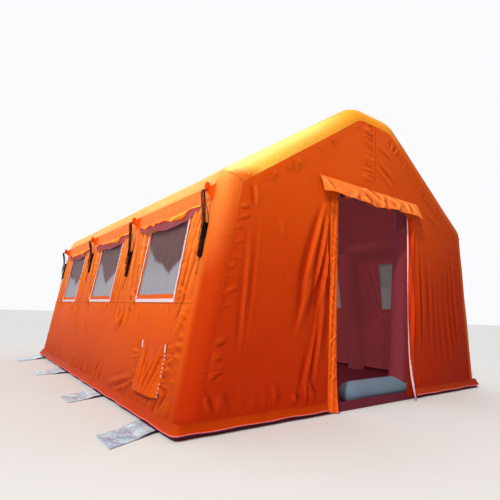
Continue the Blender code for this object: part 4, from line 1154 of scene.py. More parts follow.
def gables():
    edge = section(FRAME_INSET + SEAM_LAP + FIT, HEM_HEIGHT)
    top = edge[4].y
    area = sum((b.x - a.x) * ((a.y + b.y) / 2 - HEM_HEIGHT) for a, b in zip(edge, edge[1:]))
    for name, end, step in (("front", -1, 0.015), ("rear", 1, 0.024)):
        heights = lines(HEM_HEIGHT, top, step, [DOOR_HEIGHT, *(p.y for p in edge)])
        wide = half_width(heights, edge)
        split = DOOR_HALF_WIDTH * np.minimum(1, wide / float(half_width(DOOR_HEIGHT, edge)))
        beside, between = round(1.1 / step), round(1.06 / step)
        shares = [np.linspace(-2, -1, beside), np.linspace(-1, 1, between)[1:], np.linspace(1, 2, beside)[1:]]
        s, z = np.meshgrid(np.concatenate(shares), heights)
        side = np.abs(s)
        outer = split[:, None] + (side - 1) * (wide - split)[:, None]
        x = np.where(side <= 1, side * split[:, None], outer) * np.sign(s)
        out = fold_height(x, z, gable_folds(name, edge)) + swell(x, z, 1.2, 1.5, 0.004, 41 + end)
        out += 0.003 * bell(x, -0.01, 0.01) * (z > DOOR_HEIGHT)
        near_edge = unit((wide[:, None] - np.abs(x)) / 0.02) * unit((z - HEM_HEIGHT) / 0.05)
        out = np.maximum(out, -0.002) * (near_edge * unit((top - z) / 0.02))
        holes = []
        if name == "front":
            holes.append((-DOOR_HALF_WIDTH, DOOR_HALF_WIDTH, HEM_HEIGHT, DOOR_HEIGHT))
            strip_room = (np.abs(x) < 0.66) & (z < DOOR_HEIGHT + 0.1)
            out = np.where(strip_room, np.minimum(out, 0.0) * unit((np.abs(x) - DOOR_HALF_WIDTH) / 0.1), out)
            hood_room = (np.abs(x - HOOD_SHIFT) < 0.76) & (z > 1.9) & (z < 2.12)
            out = np.where(hood_room, np.minimum(out, 0.0), out)
        points = grid(x, end * (HALF_LENGTH + out), z)
        gable = cloth_object(f"gable_cloth_{name}", points, (x, z), [gable_cloth, lining], holes)
        dress(gable, nodes=(f"gable_{name}",))


# Ground

SKIRT_TOP = 0.1
SKIRT_HUG, SKIRT_REACH = 0.0033, 0.035
SKIRT_CORNER = 0.02
SKIRT_START, SKIRT_END = -DOOR_HALF_WIDTH - 0.096, DOOR_HALF_WIDTH + 0.131
ANCHOR_WIDTH = 0.32
ANCHOR_PLACES = ((0.27, -0.17, 0.35), (-0.09, -0.12, 0.31), (-0.2, -0.02, 0.32), (-0.24, -0.24, 0.36))
ANCHOR_ROOT = 0.02
ANCHOR_EYELET = 0.06
ANCHOR_HINGE = FLOOR_HALF_WIDTH + 0.035 + 0.002


def foot_loop(out_x, out_y, radius):
    """Points round the tent's foot with rounded corners, from the doorway's left side to its right."""
    x, y = FLOOR_HALF_WIDTH + out_x, HALF_LENGTH + out_y
    path = [np.array((SKIRT_START, -y))]
    for cx, cy, first in ((-x, -y, -90), (-x, y, 180), (x, y, 90), (x, -y, 0)):
        inner = np.array((cx - math.copysign(radius, cx), cy - math.copysign(radius, cy)))
        for i in range(6):
            a = math.radians(first - 90 * i / 5)
            path.append(inner + radius * np.array((math.cos(a), math.sin(a))))
    path.append(np.array((SKIRT_END, -y)))
    return path


def spread(path, counts):
    made = [path[0]]
    for a, b, count in zip(path, path[1:], counts):
        made += [a + (b - a) * (i + 1) / count for i in range(count)]
    return np.array(made)


def ground_skirt():
    """The flared hem: orange, with a red binding and pale piping along its lower edge."""
    base = foot_loop(0, 0, SKIRT_CORNER)
    counts = [max(1, round(float(np.linalg.norm(b - a)) / 0.03)) for a, b in zip(base, base[1:])]
    travel = travel_along(spread(base, counts))
    rows = []
    for share in (0, 0.16, 0.32, 0.48, 0.62, 0.76, 0.88, 0.94, 1):
        z = SKIRT_TOP + (HEM_HEIGHT - SKIRT_TOP) * share
        bend = share**1.6
        lean = z * math.tan(WALL_LEAN)
        out_x = (SKIRT_HUG / math.cos(WALL_LEAN) - lean) * (1 - bend) + SKIRT_REACH * bend
        out_y = SKIRT_HUG * (1 - bend) + SKIRT_REACH * bend
        loop = spread(foot_loop(out_x, out_y, SKIRT_CORNER + SKIRT_REACH * bend), counts)
        wave = 0.005 * bend * (np.sin(travel * 9) + 0.6 * np.sin(travel * 23 + 1))
        lift = 0.003 * bend * np.sin(travel * 14 + 2)
        away = loop / np.linalg.norm(loop, axis=1)[:, None]
        loop = loop + away * np.minimum(wave - 0.001, 0)[:, None]
        rows.append(np.column_stack([loop, np.full(len(loop), z) + lift]))
    points = np.array(rows)
    run = travel_along(points[:, 0])
    finishes = [skirt_cloth, red_band, piping_cloth, lining]
    flat = np.meshgrid(travel, run)
    looks = {"zones": lambda _, depth: np.searchsorted(run[-3:-1], depth), "away_from": (0, 0, -3)}
    skirt = cloth_object("skirt_cloth", points, flat, finishes, **looks)
    dress(skirt, nodes=("ground_skirt",))


def groundsheet():
    """The bathtub floor: slightly uneven, turned up under the walls and to a sill in the doorway."""
    x0, y0, door = FLOOR_HALF_WIDTH, HALF_LENGTH, DOOR_HALF_WIDTH
    y, x = np.meshgrid(lines(-y0, y0, 0.045), lines(-x0, x0, 0.045, (-door, door)))
    inner = unit(np.minimum(x0 - np.abs(x), y0 - np.abs(y)) / 0.3)
    ripple = (swell(x, y, 0.7, 0.9, 1, 61) * 0.5 + 0.5) * 0.0012 * inner
    floor = grid(x, y, 0.0025 + ripple)
    finishes = [ground_cloth, ground_cloth]
    pieces = [cloth_object("floor_cloth", floor, (x, y), finishes, thickness=0.0018, away_from=BELOW)]
    height = HEM_HEIGHT - FIT
    lean = height * math.tan(WALL_LEAN)
    edges = (
        ((-door, -y0), (-x0, -y0), 0, height),
        ((-x0, -y0), (-x0, y0), lean, height),
        ((-x0, y0), (x0, y0), 0, height),
        ((x0, y0), (x0, -y0), -lean, height),
        ((x0, -y0), (door, -y0), 0, height),
        ((door - FIT, -y0), (-door + FIT, -y0), 0, SILL_HEIGHT),
    )
    for number, (start, end, inwards, high) in enumerate(edges):
        a, b = np.array(start), np.array(end)
        length = np.linalg.norm(b - a)
        shares = np.linspace(0, 1, max(2, round(float(length) / 0.05)) + 1)
        s, level = np.meshgrid(shares, np.linspace(0, 1, 5 if high == height else 9))
        wave = 0.0012 * np.sin(s * length * 11 + number) * np.sin(np.pi * level)
        side = np.array((b - a)[::-1]) / length * (1, -1)
        spot = a + (b - a) * s[..., None] + np.array((inwards, 0)) * level[..., None] + side * wave[..., None]
        rise = 0.0008 + (high - 0.0008) * level
        points = grid(spot[..., 0], spot[..., 1], rise)
        flat = (s * length, level * high + 3)
        looks = {"thickness": 0.002, "away_from": (0, 0, 0)}
        pieces.append(cloth_object(f"upstand_{number}", points, flat, finishes, **looks))
    for name, way in SIDES.items():
        for index in range(ARCHES):
            pieces.append(anchor_root(name, way, index))
    floor = join("floor_and_upstands", pieces)
    dress(floor, nodes=("groundsheet",))
    area = 4 * x0 * y0 + 4 * (x0 + y0) * height + 0.12


def anchor_root(name, way, index):
    """The tongue of the groundsheet that an anchor flap is sewn to."""
    middle = arch_y(index) + ANCHOR_PLACES[index][0]
    y = lines(middle - ANCHOR_WIDTH / 2, middle + ANCHOR_WIDTH / 2, 0.03)
    across, along = np.meshgrid(np.linspace(FLOOR_HALF_WIDTH - 0.004, ANCHOR_HINGE, 5), y)
    points = grid(way * across, along, ANCHOR_ROOT)
    finishes = [ground_cloth, ground_cloth]
    looks = {"thickness": 0.0025, "away_from": BELOW}
    return cloth_object(f"root_{name}_{index}", points, (across, along), finishes, **looks)


def anchor_flaps():
    """Silver-coated ground flaps: off their root in a soft bend, then flat on the ground, creased."""
    for name, way in SIDES.items():
        for index in range(ARCHES):
            offset, drift, reach = ANCHOR_PLACES[index]
            drift = drift if way == -1 else 0
            share, out = np.meshgrid(np.linspace(-0.5, 0.5, 41), lines(0.0003, reach, 0.008))
            ease = unit((out - 0.05) / 0.12)
            z = FLOOR_TOP + (ANCHOR_ROOT - FLOOR_TOP) * (1 - ease * ease * (3 - 2 * ease))
            y = arch_y(index) + offset + share * ANCHOR_WIDTH + drift * out / reach
            dents = np.random.default_rng(70 + index + 10 * (way + 1))
            folds = []
            for _ in range(7):
                a, b = dents.uniform(-0.5, 0.5, 2) * ANCHOR_WIDTH
                c, d = np.sort(dents.uniform(0.03, reach, 2))
                folds.append((a, c, b, d + 0.02, dents.uniform(0.01, 0.02), dents.uniform(0.001, 0.0032)))
            lift = fold_height(share * ANCHOR_WIDTH, out, folds)
            lift = lift + 0.004 * unit((out / reach - 0.85) / 0.15) ** 2 * np.sin(share * 5 + index)
            z = z + np.clip(lift, 0, 0.006) * unit(out / 0.02)
            points = grid(way * (ANCHOR_HINGE + out), y, z)
            flat = (share * ANCHOR_WIDTH, out)
            label = f"{name}_{index + 1}"
            body = f"anchor_flap_{label}"
            looks = {"thickness": 0.0018, "away_from": BELOW}
            flap = cloth_object(f"anchor_sheet_{label}", points, flat, [silver, silver_back], **looks)
            eye_out = reach - ANCHOR_EYELET
            eye = (way * (ANCHOR_HINGE + eye_out), arch_y(index) + offset + drift * eye_out / reach, 0.0055)
            ring = eyelet(f"anchor_eyelet_{label}", eye, 0.013)
            hem = anchor_hem(f"anchor_hem_{label}", points)
            dress(flap, body, (body,))
            dress(ring, body)
            dress(hem, body)


def anchor_hem(name, points):
    """The turned and stitched edge of a ground flap, on three sides."""
    rim = [points[i, 0] for i in range(4, len(points))]
    rim += [points[-1, j] for j in range(1, points.shape[1])]
    rim += [points[i, -1] for i in range(len(points) - 2, 3, -1)]
    middle = points.reshape(-1, 3).mean(axis=0)
    outer, inner = [], []
    for spot in rim:
        towards = middle - spot
        towards[2] = 0
        towards /= np.linalg.norm(towards)
        outer.append(spot + np.array((0, 0, 0.0006)))
        inner.append(spot + towards * 0.014 + np.array((0, 0, 0.0009)))
    rows = np.array([outer, inner])
    flat = np.meshgrid(np.arange(rows.shape[1]) * 0.008, [0, 0.014])
    return cloth_object(name, rows, flat, [silver, silver], thickness=0.0006, away_from=BELOW)


def eyelet(name, middle, radius):
    """A rolled metal ring pressed into cloth, with a flat collar."""
    sizes = {"minor_radius": 0.0022, "major_segments": 36, "minor_segments": 10}
    bpy.ops.mesh.primitive_torus_add(major_radius=radius, **sizes)
    ring = bpy.context.active_object
    for vert in ring.data.vertices:
        away = math.hypot(vert.co.x, vert.co.y)
        stretch = 1 + 0.9 * max(0, away - radius) / away
        vert.co = (vert.co.x * stretch, vert.co.y * stretch, vert.co.z * 0.7)
    ring.location = middle
    bpy.ops.object.transform_apply(location=True)
    ring.name = ring.data.name = name
    ring.data.materials.append(dull_metal)
    return finish_mesh(ring)


# Air frame

POST_RADIUS = 0.1
POST_FOOT = 0.545
POST_LEAN = 0.1 / 1.75
SILL_BEAM_RADIUS = 0.11
SILL_BEAM_START = -0.3
SILL_BEAM_Z = FLOOR_TOP + SILL_BEAM_RADIUS - 0.0003


def tube_mesh(name, path, radius, finish, across, ends, sides=32, swell_at=1):
    """An inflated tube: rings square to a path, slightly uneven, with closed ends.

    across is the tube's sideways axis; ends gives a function for each end that moves its ring to a saddle.
    """
    path = np.array(path, float)
    way = np.gradient(path, axis=0)
    way /= np.linalg.norm(way, axis=1)[:, None]
    side = np.tile(np.array(across, float), (len(path), 1))
    side -= way * (side * way).sum(axis=1)[:, None]
    side /= np.linalg.norm(side, axis=1)[:, None]
    up = np.cross(way, side)
    turns = 2 * np.pi * np.arange(sides) / sides
    travel = travel_along(path)
    size = radius * np.broadcast_to(swell_at, len(path))
    rings = []
    for i, spot in enumerate(path):
        uneven = 1 + 0.004 * np.sin(3 * turns + travel[i] * 7) + 0.003 * np.sin(travel[i] * 31 + 2 * turns)
        offset = side[i] * np.cos(turns)[:, None] + up[i] * np.sin(turns)[:, None]
        rings.append(spot + offset * (size[i] * uneven)[:, None])
    rings = np.array(rings)
    for place, end, beside, third in ((ends[0], 0, 1, 2), (ends[1], -1, -2, -3)):
        if place:
            rings[end] = place(rings[end].copy())
            rings[beside] = 0.5 * (rings[end] + rings[third])
    points = rings.reshape(-1, 3)
    index = np.arange(len(points)).reshape(len(path), sides)
    after = np.roll(index, -1, axis=1)
    quads = np.stack([index[:-1], after[:-1], after[1:], index[1:]], axis=-1).reshape(-1, 4).tolist()
    quads += [[int(b), int(a), len(points)] for a, b in zip(index[0], after[0])]
    quads += [[int(a), int(b), len(points) + 1] for a, b in zip(index[-1], after[-1])]
    form = bpy.data.meshes.new(name)
    caps = rings[[0, -1]].mean(axis=1)
    form.from_pydata([*points.tolist(), *caps.tolist()], [], quads)
    form.materials.append(finish)
    obj = new_object(name, form)
    pick(obj)
    bpy.ops.object.mode_set(mode="EDIT")
    bpy.ops.mesh.select_all(action="SELECT")
    bpy.ops.mesh.normals_make_consistent(inside=False)
    bpy.ops.object.mode_set(mode="OBJECT")
    return finish_mesh(obj)


def round_face(radius, offset):
    """How far a round tube's face lies from its axis, beside that axis by an offset."""
    return np.sqrt(np.maximum(0, radius**2 - offset**2))


def flat_foot(height):
    def place(ring):
        ring[:, 2] = height
        return ring

    return place


def tie_end(spot, tangent, at, way):
    """The end of a tie beam: a saddle on the arch at this y."""

    def place(ring):
        offset = (ring[:, 2] - spot.y) * tangent.x - (ring[:, 0] - spot.x) * tangent.y
        ring[:, 1] = at + way * round_face(BEAM_RADIUS, offset) + way * TUBE_GAP
        return ring

    return place


def air_frame():
    """Four arches, slightly uneven, with welded tie beams behind the first three."""
    corners = section(FRAME_INSET, ARCH_FOOT)
    chain = outline_chain(corners, step_counts(corners, 0.03, 2))
    eave, rise = (corners[1] + corners[2]) / 2, (corners[2] - corners[1]).normalized()
    spots = [(eave, rise), (Vector((0, corners[4].y)), Vector((1, 0)))]
    spots.append((Vector((-eave.x, eave.y)), Vector((rise.x, -rise.y))))
    for index, place in enumerate(("front", "second", "third", "rear")):
        name, y = f"air_frame_{place}", arch_y(index)
        path = [(x, y, z) for x, z in chain]
        ends = (flat_foot(ARCH_FOOT), flat_foot(ARCH_FOOT))
        pieces = [tube_mesh(f"{name}_arch", path, BEAM_RADIUS - 0.0006, frame_cloth, (0, 1, 0), ends)]
        for number, (spot, tangent) in enumerate(spots if index < ARCHES - 1 else ()):
            run = [(spot.x, y + (0.1 + 0.8 * i / 24) * BAY_LENGTH, spot.y) for i in range(25)]
            ends = (tie_end(spot, tangent, y, 0.9), tie_end(spot, tangent, y + BAY_LENGTH, -1))
            radius = TIE_BEAM_RADIUS - 0.001
            pieces.append(tube_mesh(f"{name}_tie_{number}", run, radius, frame_cloth, (0, 0, 1), ends, 24))
        arch = join(f"{name}_tubes", pieces)
        dress(arch, nodes=(name,))


def door_posts():
    """Air posts beside the doorway and the white air beam on the floor between them."""
    y = arch_y(0)
    xs, zs = zip(*section(FRAME_INSET, 0)[4:])
    slope = (zs[-2] - zs[1]) / (xs[-2] - xs[1])
    leg = FLOOR_HALF_WIDTH - SILL_BEAM_Z * math.tan(WALL_LEAN) - FRAME_INSET / math.cos(WALL_LEAN)

    def head(ring):
        depth = round_face(BEAM_RADIUS + FIT, ring[:, 1] - y) * math.sqrt(1 + slope**2)
        ring[:, 2] = np.interp(np.abs(ring[:, 0]), xs, zs) - depth - TUBE_GAP
        return ring

    def on_sill_beam(ring):
        drop = round_face(SILL_BEAM_RADIUS + FIT, ring[:, 1] - y)
        ring[:, 2] = FLOOR_TOP + SILL_BEAM_RADIUS + drop + TUBE_GAP
        return ring

    def on_leg(ring):
        depth = round_face(BEAM_RADIUS + FIT, ring[:, 1] - y) / math.cos(WALL_LEAN)
        ring[:, 0] = leg - (ring[:, 2] - SILL_BEAM_Z) * math.tan(WALL_LEAN) - depth - TUBE_GAP
        return ring

    head_z = float(np.interp(POST_FOOT + POST_LEAN * EAVE_HEIGHT, xs, zs))
    feet = {"left": (FLOOR_TOP, flat_foot(FLOOR_TOP)), "right": (FLOOR_TOP + SILL_BEAM_RADIUS, on_sill_beam)}
    for name, way in SIDES.items():
        low, foot = feet[name]
        path = [(way * (POST_FOOT + POST_LEAN * z), y, z) for z in np.linspace(low, head_z - 0.1, 60)]
        looks = {"across": (0, 1, 0), "ends": (foot, head)}
        post = tube_mesh(f"door_post_tube_{name}", path, POST_RADIUS - 0.0006, post_cloth, **looks)
        dress(post, nodes=(f"door_post_{name}",))
    cap = [math.radians(degrees) for degrees in (8, 16, 26, 38, 52, 68, 90)]
    run = [SILL_BEAM_START + SILL_BEAM_RADIUS * (1 - math.cos(angle)) for angle in cap]
    run += list(np.linspace(-0.12, leg - BEAM_RADIUS, 44))
    looks = {"ends": (None, on_leg), "swell_at": [math.sin(angle) for angle in cap] + [1] * 44}
    path = [(x, y, SILL_BEAM_Z) for x in run]
    beam = tube_mesh("sill_beam_tube", path, SILL_BEAM_RADIUS - 0.0008, air_cloth, (0, 1, 0), **looks)
    dress(beam, nodes=("sill_beam",))


# Windows

FILM_MARGIN, FILM_INSET = 0.028, 0.0058
COVER_LENGTH, COVER_DEPTH, COVER_HEIGHT, COVER_TIE_UP, COVER_SAG = 1.38, 0.085, 0.11, 1.69, 0.06
COVER_PROFILE = (
    *((0.0, 0.56), (0.2, 0.5), (0.42, 0.4), (0.64, 0.26), (0.82, 0.1), (0.95, -0.06), (1.0, -0.16)),
    *((0.93, -0.21), (0.78, -0.2), (0.6, -0.24), (0.4, -0.32), (0.2, -0.4), (0.02, -0.46), (0.08, -0.3)),
    *((0.28, -0.26), (0.5, -0.16), (0.7, -0.1), (0.8, -0.04), (0.66, 0.08), (0.45, 0.2), (0.2, 0.34)),
    *((0.1, 0.15), (0.2, -0.1), (0.4, -0.1), (0.56, -0.02), (0.5, 0.06), (0.36, 0.13), (0.22, 0.08)),
)


def strip_on_wall(name, side, y, up, out, finish, thickness=0.0008):
    return cloth_object(name, on_wall(side, y, up, out), (y, up), [finish, finish], thickness=thickness)


def windows():
    """Film over net behind each hole, hook tape round it, and its cover hitched up above."""
    for name, side in SIDES.items():
        for bay in range(ARCHES - 1):
            near, far = window_edges(bay)
            label = f"{name}_{bay + 1}"
            across = lines(near - FILM_MARGIN, far + FILM_MARGIN, 0.02)
            y, up = np.meshgrid(across, lines(WINDOW_BOTTOM - FILM_MARGIN, WINDOW_TOP + FILM_MARGIN, 0.02))
            sway = 0.0018 * np.sin(y * 19 + bay) * np.sin(up * 11)
            points = on_wall(side, y, up, -FILM_INSET - np.abs(sway))
            flat = ((y - window_y(bay)) * -side, up - WINDOW_BOTTOM)
            sheet = film if name == "left" else lit_film
            pane = cloth_object(f"window_film_{label}", points, flat, [sheet, sheet], thickness=0.0008)
            dress(pane, nodes=(f"window_net_{label}",))
            trim = join(f"window_tapes_{label}", window_tapes(label, side, near, far, bay))
            dress(trim)
            window_cover(label, side, bay)


def window_tapes(label, side, near, far, bay):
    """White hook tape up both sides, and the wide white band under the window."""
    made = []
    for number, (middle, wide) in enumerate(((near - 0.014, 0.022), (far + 0.034, 0.017))):
        share, up = np.meshgrid(np.linspace(-0.5, 0.5, 5), lines(0.95, 1.64, 0.012))
        wander = 0.0025 * np.sin(up * 37 + bay + number) + 0.0015 * np.sin(up * 83)
        y = middle + share * wide + wander
        lift = 0.0022 + 0.0022 * np.abs(np.sin(up * 61 + 2 * number)) * (share + 0.5)
        lift = lift + np.maximum(wall_relief(side, y, up), 0)
        made.append(strip_on_wall(f"tape_{label}_{number}", side, y, up, lift, white_tape))
    y, up = np.meshgrid(lines(near - 0.03, far + 0.045, 0.012), np.linspace(0.917, 0.947, 5))
    lift = 0.002 + np.maximum(wall_relief(side, y, up), 0) + 0.0008 * np.sin(y * 60)
    made.append(strip_on_wall(f"band_{label}", side, y, up, lift, white_tape))
    return made


def smooth_chain(points, per_step):
    """A soft curve through points (Catmull-Rom), with this many steps between each two."""
    knots = np.array([points[0], *points, points[-1]], float)
    made = []
    for a, b, c, d in zip(knots, knots[1:], knots[2:], knots[3:]):
        for i in range(per_step):
            t = i / per_step
            square, cube = 2 * a - 5 * b + 4 * c - d, 3 * b - a - 3 * c + d
            made.append(0.5 * (2 * b + (c - a) * t + square * t**2 + cube * t**3))
    return np.array([*made, knots[-1]])


def window_cover(label, side, bay):
    """The cover's cloth, doubled back on itself into a slack swag that is drawn up at both ends."""
    profile = smooth_chain(COVER_PROFILE, 4)
    share = np.tile(np.linspace(0, 1, 93), (len(profile), 1))
    out_unit, up_unit = profile[:, 0][:, None], profile[:, 1][:, None]
    full = 0.16 + 0.84 * np.sin(np.pi * share) ** 0.6 + 0.07 * np.sin(5 * np.pi * share)
    lip = bell(out_unit, 1.0, 0.5)
    crumples = np.random.default_rng(90 + bay + 3 * (side + 1))
    knots = np.linspace(0, 1, 17)
    jut = np.interp(share, knots, crumples.uniform(-0.14, 0.14, 17))
    jut = jut + 0.22 * bell(share, 0.2, 0.07) - 0.2 * bell(share, 0.34, 0.05)
    hitch = np.interp(share + 0.05 * up_unit, knots, crumples.uniform(-0.17, 0.17, 17))
    sag = np.interp(share, (0, 0.12, 0.3, 0.48, 0.66, 0.76, 0.88, 1), (0, 0.6, 1, 0.96, 0.55, 0.72, 0.5, 0))
    up = COVER_TIE_UP - COVER_SAG * sag + (up_unit + hitch * lip) * COVER_HEIGHT * full
    out = FIT + np.clip(out_unit * (1 + jut * lip), 0, 1.16) * COVER_DEPTH * full
    y = bay_y(bay) + (share - 0.5) * COVER_LENGTH
    points = on_wall(side, y, up, out + 0.0012)
    run = travel_along(profile * (COVER_DEPTH, COVER_HEIGHT))
    lip_run = run[np.argmax(profile[:, 0])]

    def bands(across, depth):
        front = across / COVER_LENGTH if side == -1 else 1 - across / COVER_LENGTH
        lip_at = lip_run + 0.05 * bell(front, 0.2, 0.09)
        # The front third of each cover takes the brighter glowing copy: a painted highlight.
        outer = np.where(front < 0.34, 3, 0)
        return np.where(np.abs(depth - lip_at - 0.006) < 0.009, 1, np.where(depth > lip_at, 2, outer))

    finishes = [cover_cloth, red_band, mauve_lining, lit_cover_cloth, mauve_lining]
    looks = {"zones": bands, "thickness": 0.0009, "fold_reach": 0.02}
    looks["away_from"] = on_wall(side, bay_y(bay), COVER_TIE_UP - 0.04, 0.03)
    flat = (share * COVER_LENGTH, run[:, None])
    cover = cloth_object(f"hitched_cover_{label}", points, flat, finishes, **looks)
    ties = join(f"cover_ties_{label}", [cover_tie(label, side, bay, end) for end in (0, 1)])
    dress(cover, nodes=(f"window_cover_{label}",))
    dress(ties)


def cover_tie(label, side, bay, end):
    """A narrow tie that draws a corner of the cover up and along to the guy tab beside it."""
    start_y = bay_y(bay) + (end - 0.5) * (COVER_LENGTH - 0.02)
    start_up, tab_up = COVER_TIE_UP + 0.003, 1.755
    share, half = np.meshgrid(np.linspace(0, 1, 15), (-0.004, 0.004))
    y = start_y + (tab_y(bay + end) - start_y) * share
    up = start_up + (tab_up - start_up) * share - 0.006 * np.sin(np.pi * share) + half
    out = 0.006 + 0.01 * np.sin(np.pi * share) * (1 - share) + np.where(half < 0, 0.001, 0)
    points = on_wall(side, y, up, out)
    flat = (share * 0.3, half + 0.004)
    return cloth_object(f"cover_tie_{label}_{end}", points, flat, [trim_cloth, trim_cloth], thickness=0.0012)


# Doorway

HOOD_WIDTH, HOOD_DEPTH, HOOD_TOP, HOOD_SHIFT = 1.47, 0.19, 2.09, -0.035
HOOD_DROP, HOOD_STAND_OFF, HOOD_HEM = 0.17, 0.085, 0.012
ROLL_LENGTH, ROLL_HEIGHT, ROLL_RADIUS, ROLL_PITCH, ROLL_TURNS = 0.996, 1.95, 0.0255, 0.0014, 17.0
STRIP_TOP, STRIP_FOOT, STRIP_CLEARANCE = 1.9, 0.012, 0.003
FLAP_WIDTH, FLAP_TOP, FLAP_BOTTOM = 0.49, 0.6, 0.195
# Each row: the fold's ends as shares of the hood's width and depth, its width and its rise
HOOD_FOLDS = (
    (0.02, 0.1, 0.07, 1.0, 0.03, 0.01),
    (0.31, 0.4, 0.24, 1.1, 0.034, 0.013),
    (0.36, 0.6, 0.43, 1.1, 0.03, 0.014),
    (0.36, -0.1, 0.58, 0.95, 0.034, 0.024),
    (0.58, 0.1, 0.54, 1.1, 0.03, 0.015),
    (0.62, 0.0, 0.78, 0.85, 0.03, 0.02),
    (0.74, 0.5, 0.68, 1.1, 0.026, 0.013),
    (0.85, 0.1, 0.83, 1.0, 0.032, 0.014),
    (0.9, 0.1, 0.96, 0.9, 0.028, 0.013),
)
STRIP_FOLDS = (
    (0.03, 0.1, 0.07, 1.8, 0.02, 0.012),
    (0.08, 0.9, 0.05, 1.86, 0.014, 0.008),
    (0.02, 0.0, 0.1, 0.8, 0.02, 0.006),
)
FLAP_FOLDS = (
    (0.06, 0.02, 0.16, 0.38, 0.022, 0.013),
    (0.42, 0.02, 0.3, 0.38, 0.024, 0.015),
    (0.15, 0.12, 0.26, 0.4, 0.018, 0.011),
    (0.34, 0.1, 0.22, 0.36, 0.018, 0.012),
    (0.46, 0.18, 0.36, 0.39, 0.016, 0.009),
    (0.03, 0.2, 0.1, 0.4, 0.016, 0.009),
)


def door_hood():
    """The slack flap over the doorway, with a turned hem along its wavy lower edge."""
    wide, deep = HOOD_WIDTH, HOOD_DEPTH
    s, d = np.meshgrid(np.linspace(0, 1, 201), np.linspace(0, 1, 31))
    slack = d * (0.007 * np.sin(3.2 * np.pi * s) + 0.004 * np.sin(7.1 * np.pi * s))
    folds = [(x0 * wide, d0 * deep, x1 * wide, d1 * deep, *size) for x0, d0, x1, d1, *size in HOOD_FOLDS]
    folds += puckers(0, 0.01, wide, 0.01, 26, 0.06, 0.012, 0.004, math.pi / 2)
    folds += puckers(0, deep - 0.01, wide, deep - 0.01, 20, 0.05, 0.011, 0.0035, -math.pi / 2)
    lift = np.clip(fold_height(s * wide, d * deep, folds) * unit(d / 0.1), -0.01, 0.022)
    x = HOOD_SHIFT + (s - 0.5) * wide * (1 + 0.02 * d)
    y = -HALF_LENGTH - CLOTH - FIT - HOOD_STAND_OFF * d**0.8 - slack - lift
    z = HOOD_TOP - HOOD_DROP * d + 1.4 * slack + 0.5 * lift
    looks = {"zones": lambda _, depth: depth > deep - HOOD_HEM, "thickness": 0.0016}
    flat = (s * wide, d * deep)
    hood = cloth_object("hood_cloth", grid(x, y, z), flat, [hood_cloth, hood_hem, lining], **looks)
    dress(hood, "door_hood", ("door_hood",))


def curtain_roll():
    """The doorway's net curtain, rolled up under the hood: a spiral of cloth with loose end turns."""
    angles = np.linspace(0, 2 * np.pi * ROLL_TURNS, 400)
    share, angle = np.meshgrid(np.linspace(0, 1, 41), angles)
    uneven = 1 + 0.04 * np.sin(2 * angle + 5 * share) - 0.05 * (0.5 - 0.5 * np.cos(4 * np.pi * share))
    radius = np.maximum(ROLL_RADIUS - ROLL_PITCH * angle / (2 * np.pi), 0.0006) * uneven
    x = (share - 0.5) * ROLL_LENGTH + 0.004 * np.sin(angle * 0.37) * (2 * share - 1)
    y = -HALF_LENGTH - FIT - 0.026 - radius * np.cos(angle)
    z = ROLL_HEIGHT + radius * np.sin(angle)
    run = travel_along(grid(radius[:, 0] * np.cos(angles), radius[:, 0] * np.sin(angles)))
    flat = (share * ROLL_LENGTH, run[:, None])
    looks = {"thickness": 0.0008, "away_from": (0, -HALF_LENGTH - 0.0263, ROLL_HEIGHT)}
    roll = cloth_object("curtain_cloth", grid(x, y, z), flat, [curtain_net, curtain_net], **looks)
    straps = join("curtain_ties", [roll_tie(x) for x in (-0.462, -0.15, 0.16, 0.463)])
    dress(roll, nodes=("door_curtain_roll",))
    dress(straps)


def roll_tie(x):
    """A red tape round the rolled curtain, with its two ends in a flat bow."""
    axis_y, radius = -HALF_LENGTH - 0.0275, 0.0272
    angle, share = np.meshgrid(np.linspace(0, 2 * np.pi, 33), np.linspace(-0.5, 0.5, 3))
    out, up = radius * np.cos(angle) * 0.99, radius * np.sin(angle)
    points, flat = grid(x + share * 0.014, axis_y - out, ROLL_HEIGHT + up), (angle * radius, share * 0.014)
    looks = {"finishes": [red_band, red_band], "thickness": 0.0008, "away_from": (x, axis_y, ROLL_HEIGHT)}
    pieces = [cloth_object("roll_band", points, flat, **looks)]
    looks["away_from"] = (x, 0, ROLL_HEIGHT)
    for way in (-1, 1):
        share, wide = np.meshgrid(np.linspace(0, 1, 15), np.linspace(-0.5, 0.5, 3))
        loop_x = x + way * (0.004 + 0.02 * np.sin(np.pi * share))
        loop_y = -HALF_LENGTH - 0.0565 - 0.006 * np.sin(2 * np.pi * share)
        ear = grid(loop_x, loop_y, 1.945 - 0.03 * share + wide * 0.012)
        pieces.append(cloth_object("roll_ear", ear, (share * 0.05, wide * 0.012), **looks))
    return join("roll_tie", pieces)


def strip_gathers(wide, tall):
    """The left strip's gathers: short folds across it, one above the other."""
    made = []
    for start in np.arange(0.03, tall - 0.1, 0.08):
        start += rng.uniform(-0.012, 0.012)
        rise = rng.uniform(0.005, 0.009)
        slope = rng.choice((-0.07, 0.05, 0.1)) + rng.uniform(-0.02, 0.02)
        near, far = wide * rng.uniform(-0.2, 0.2), wide * rng.uniform(0.9, 1.1)
        made.append((near, start, far, start + slope, 0.012, rise))
    return made


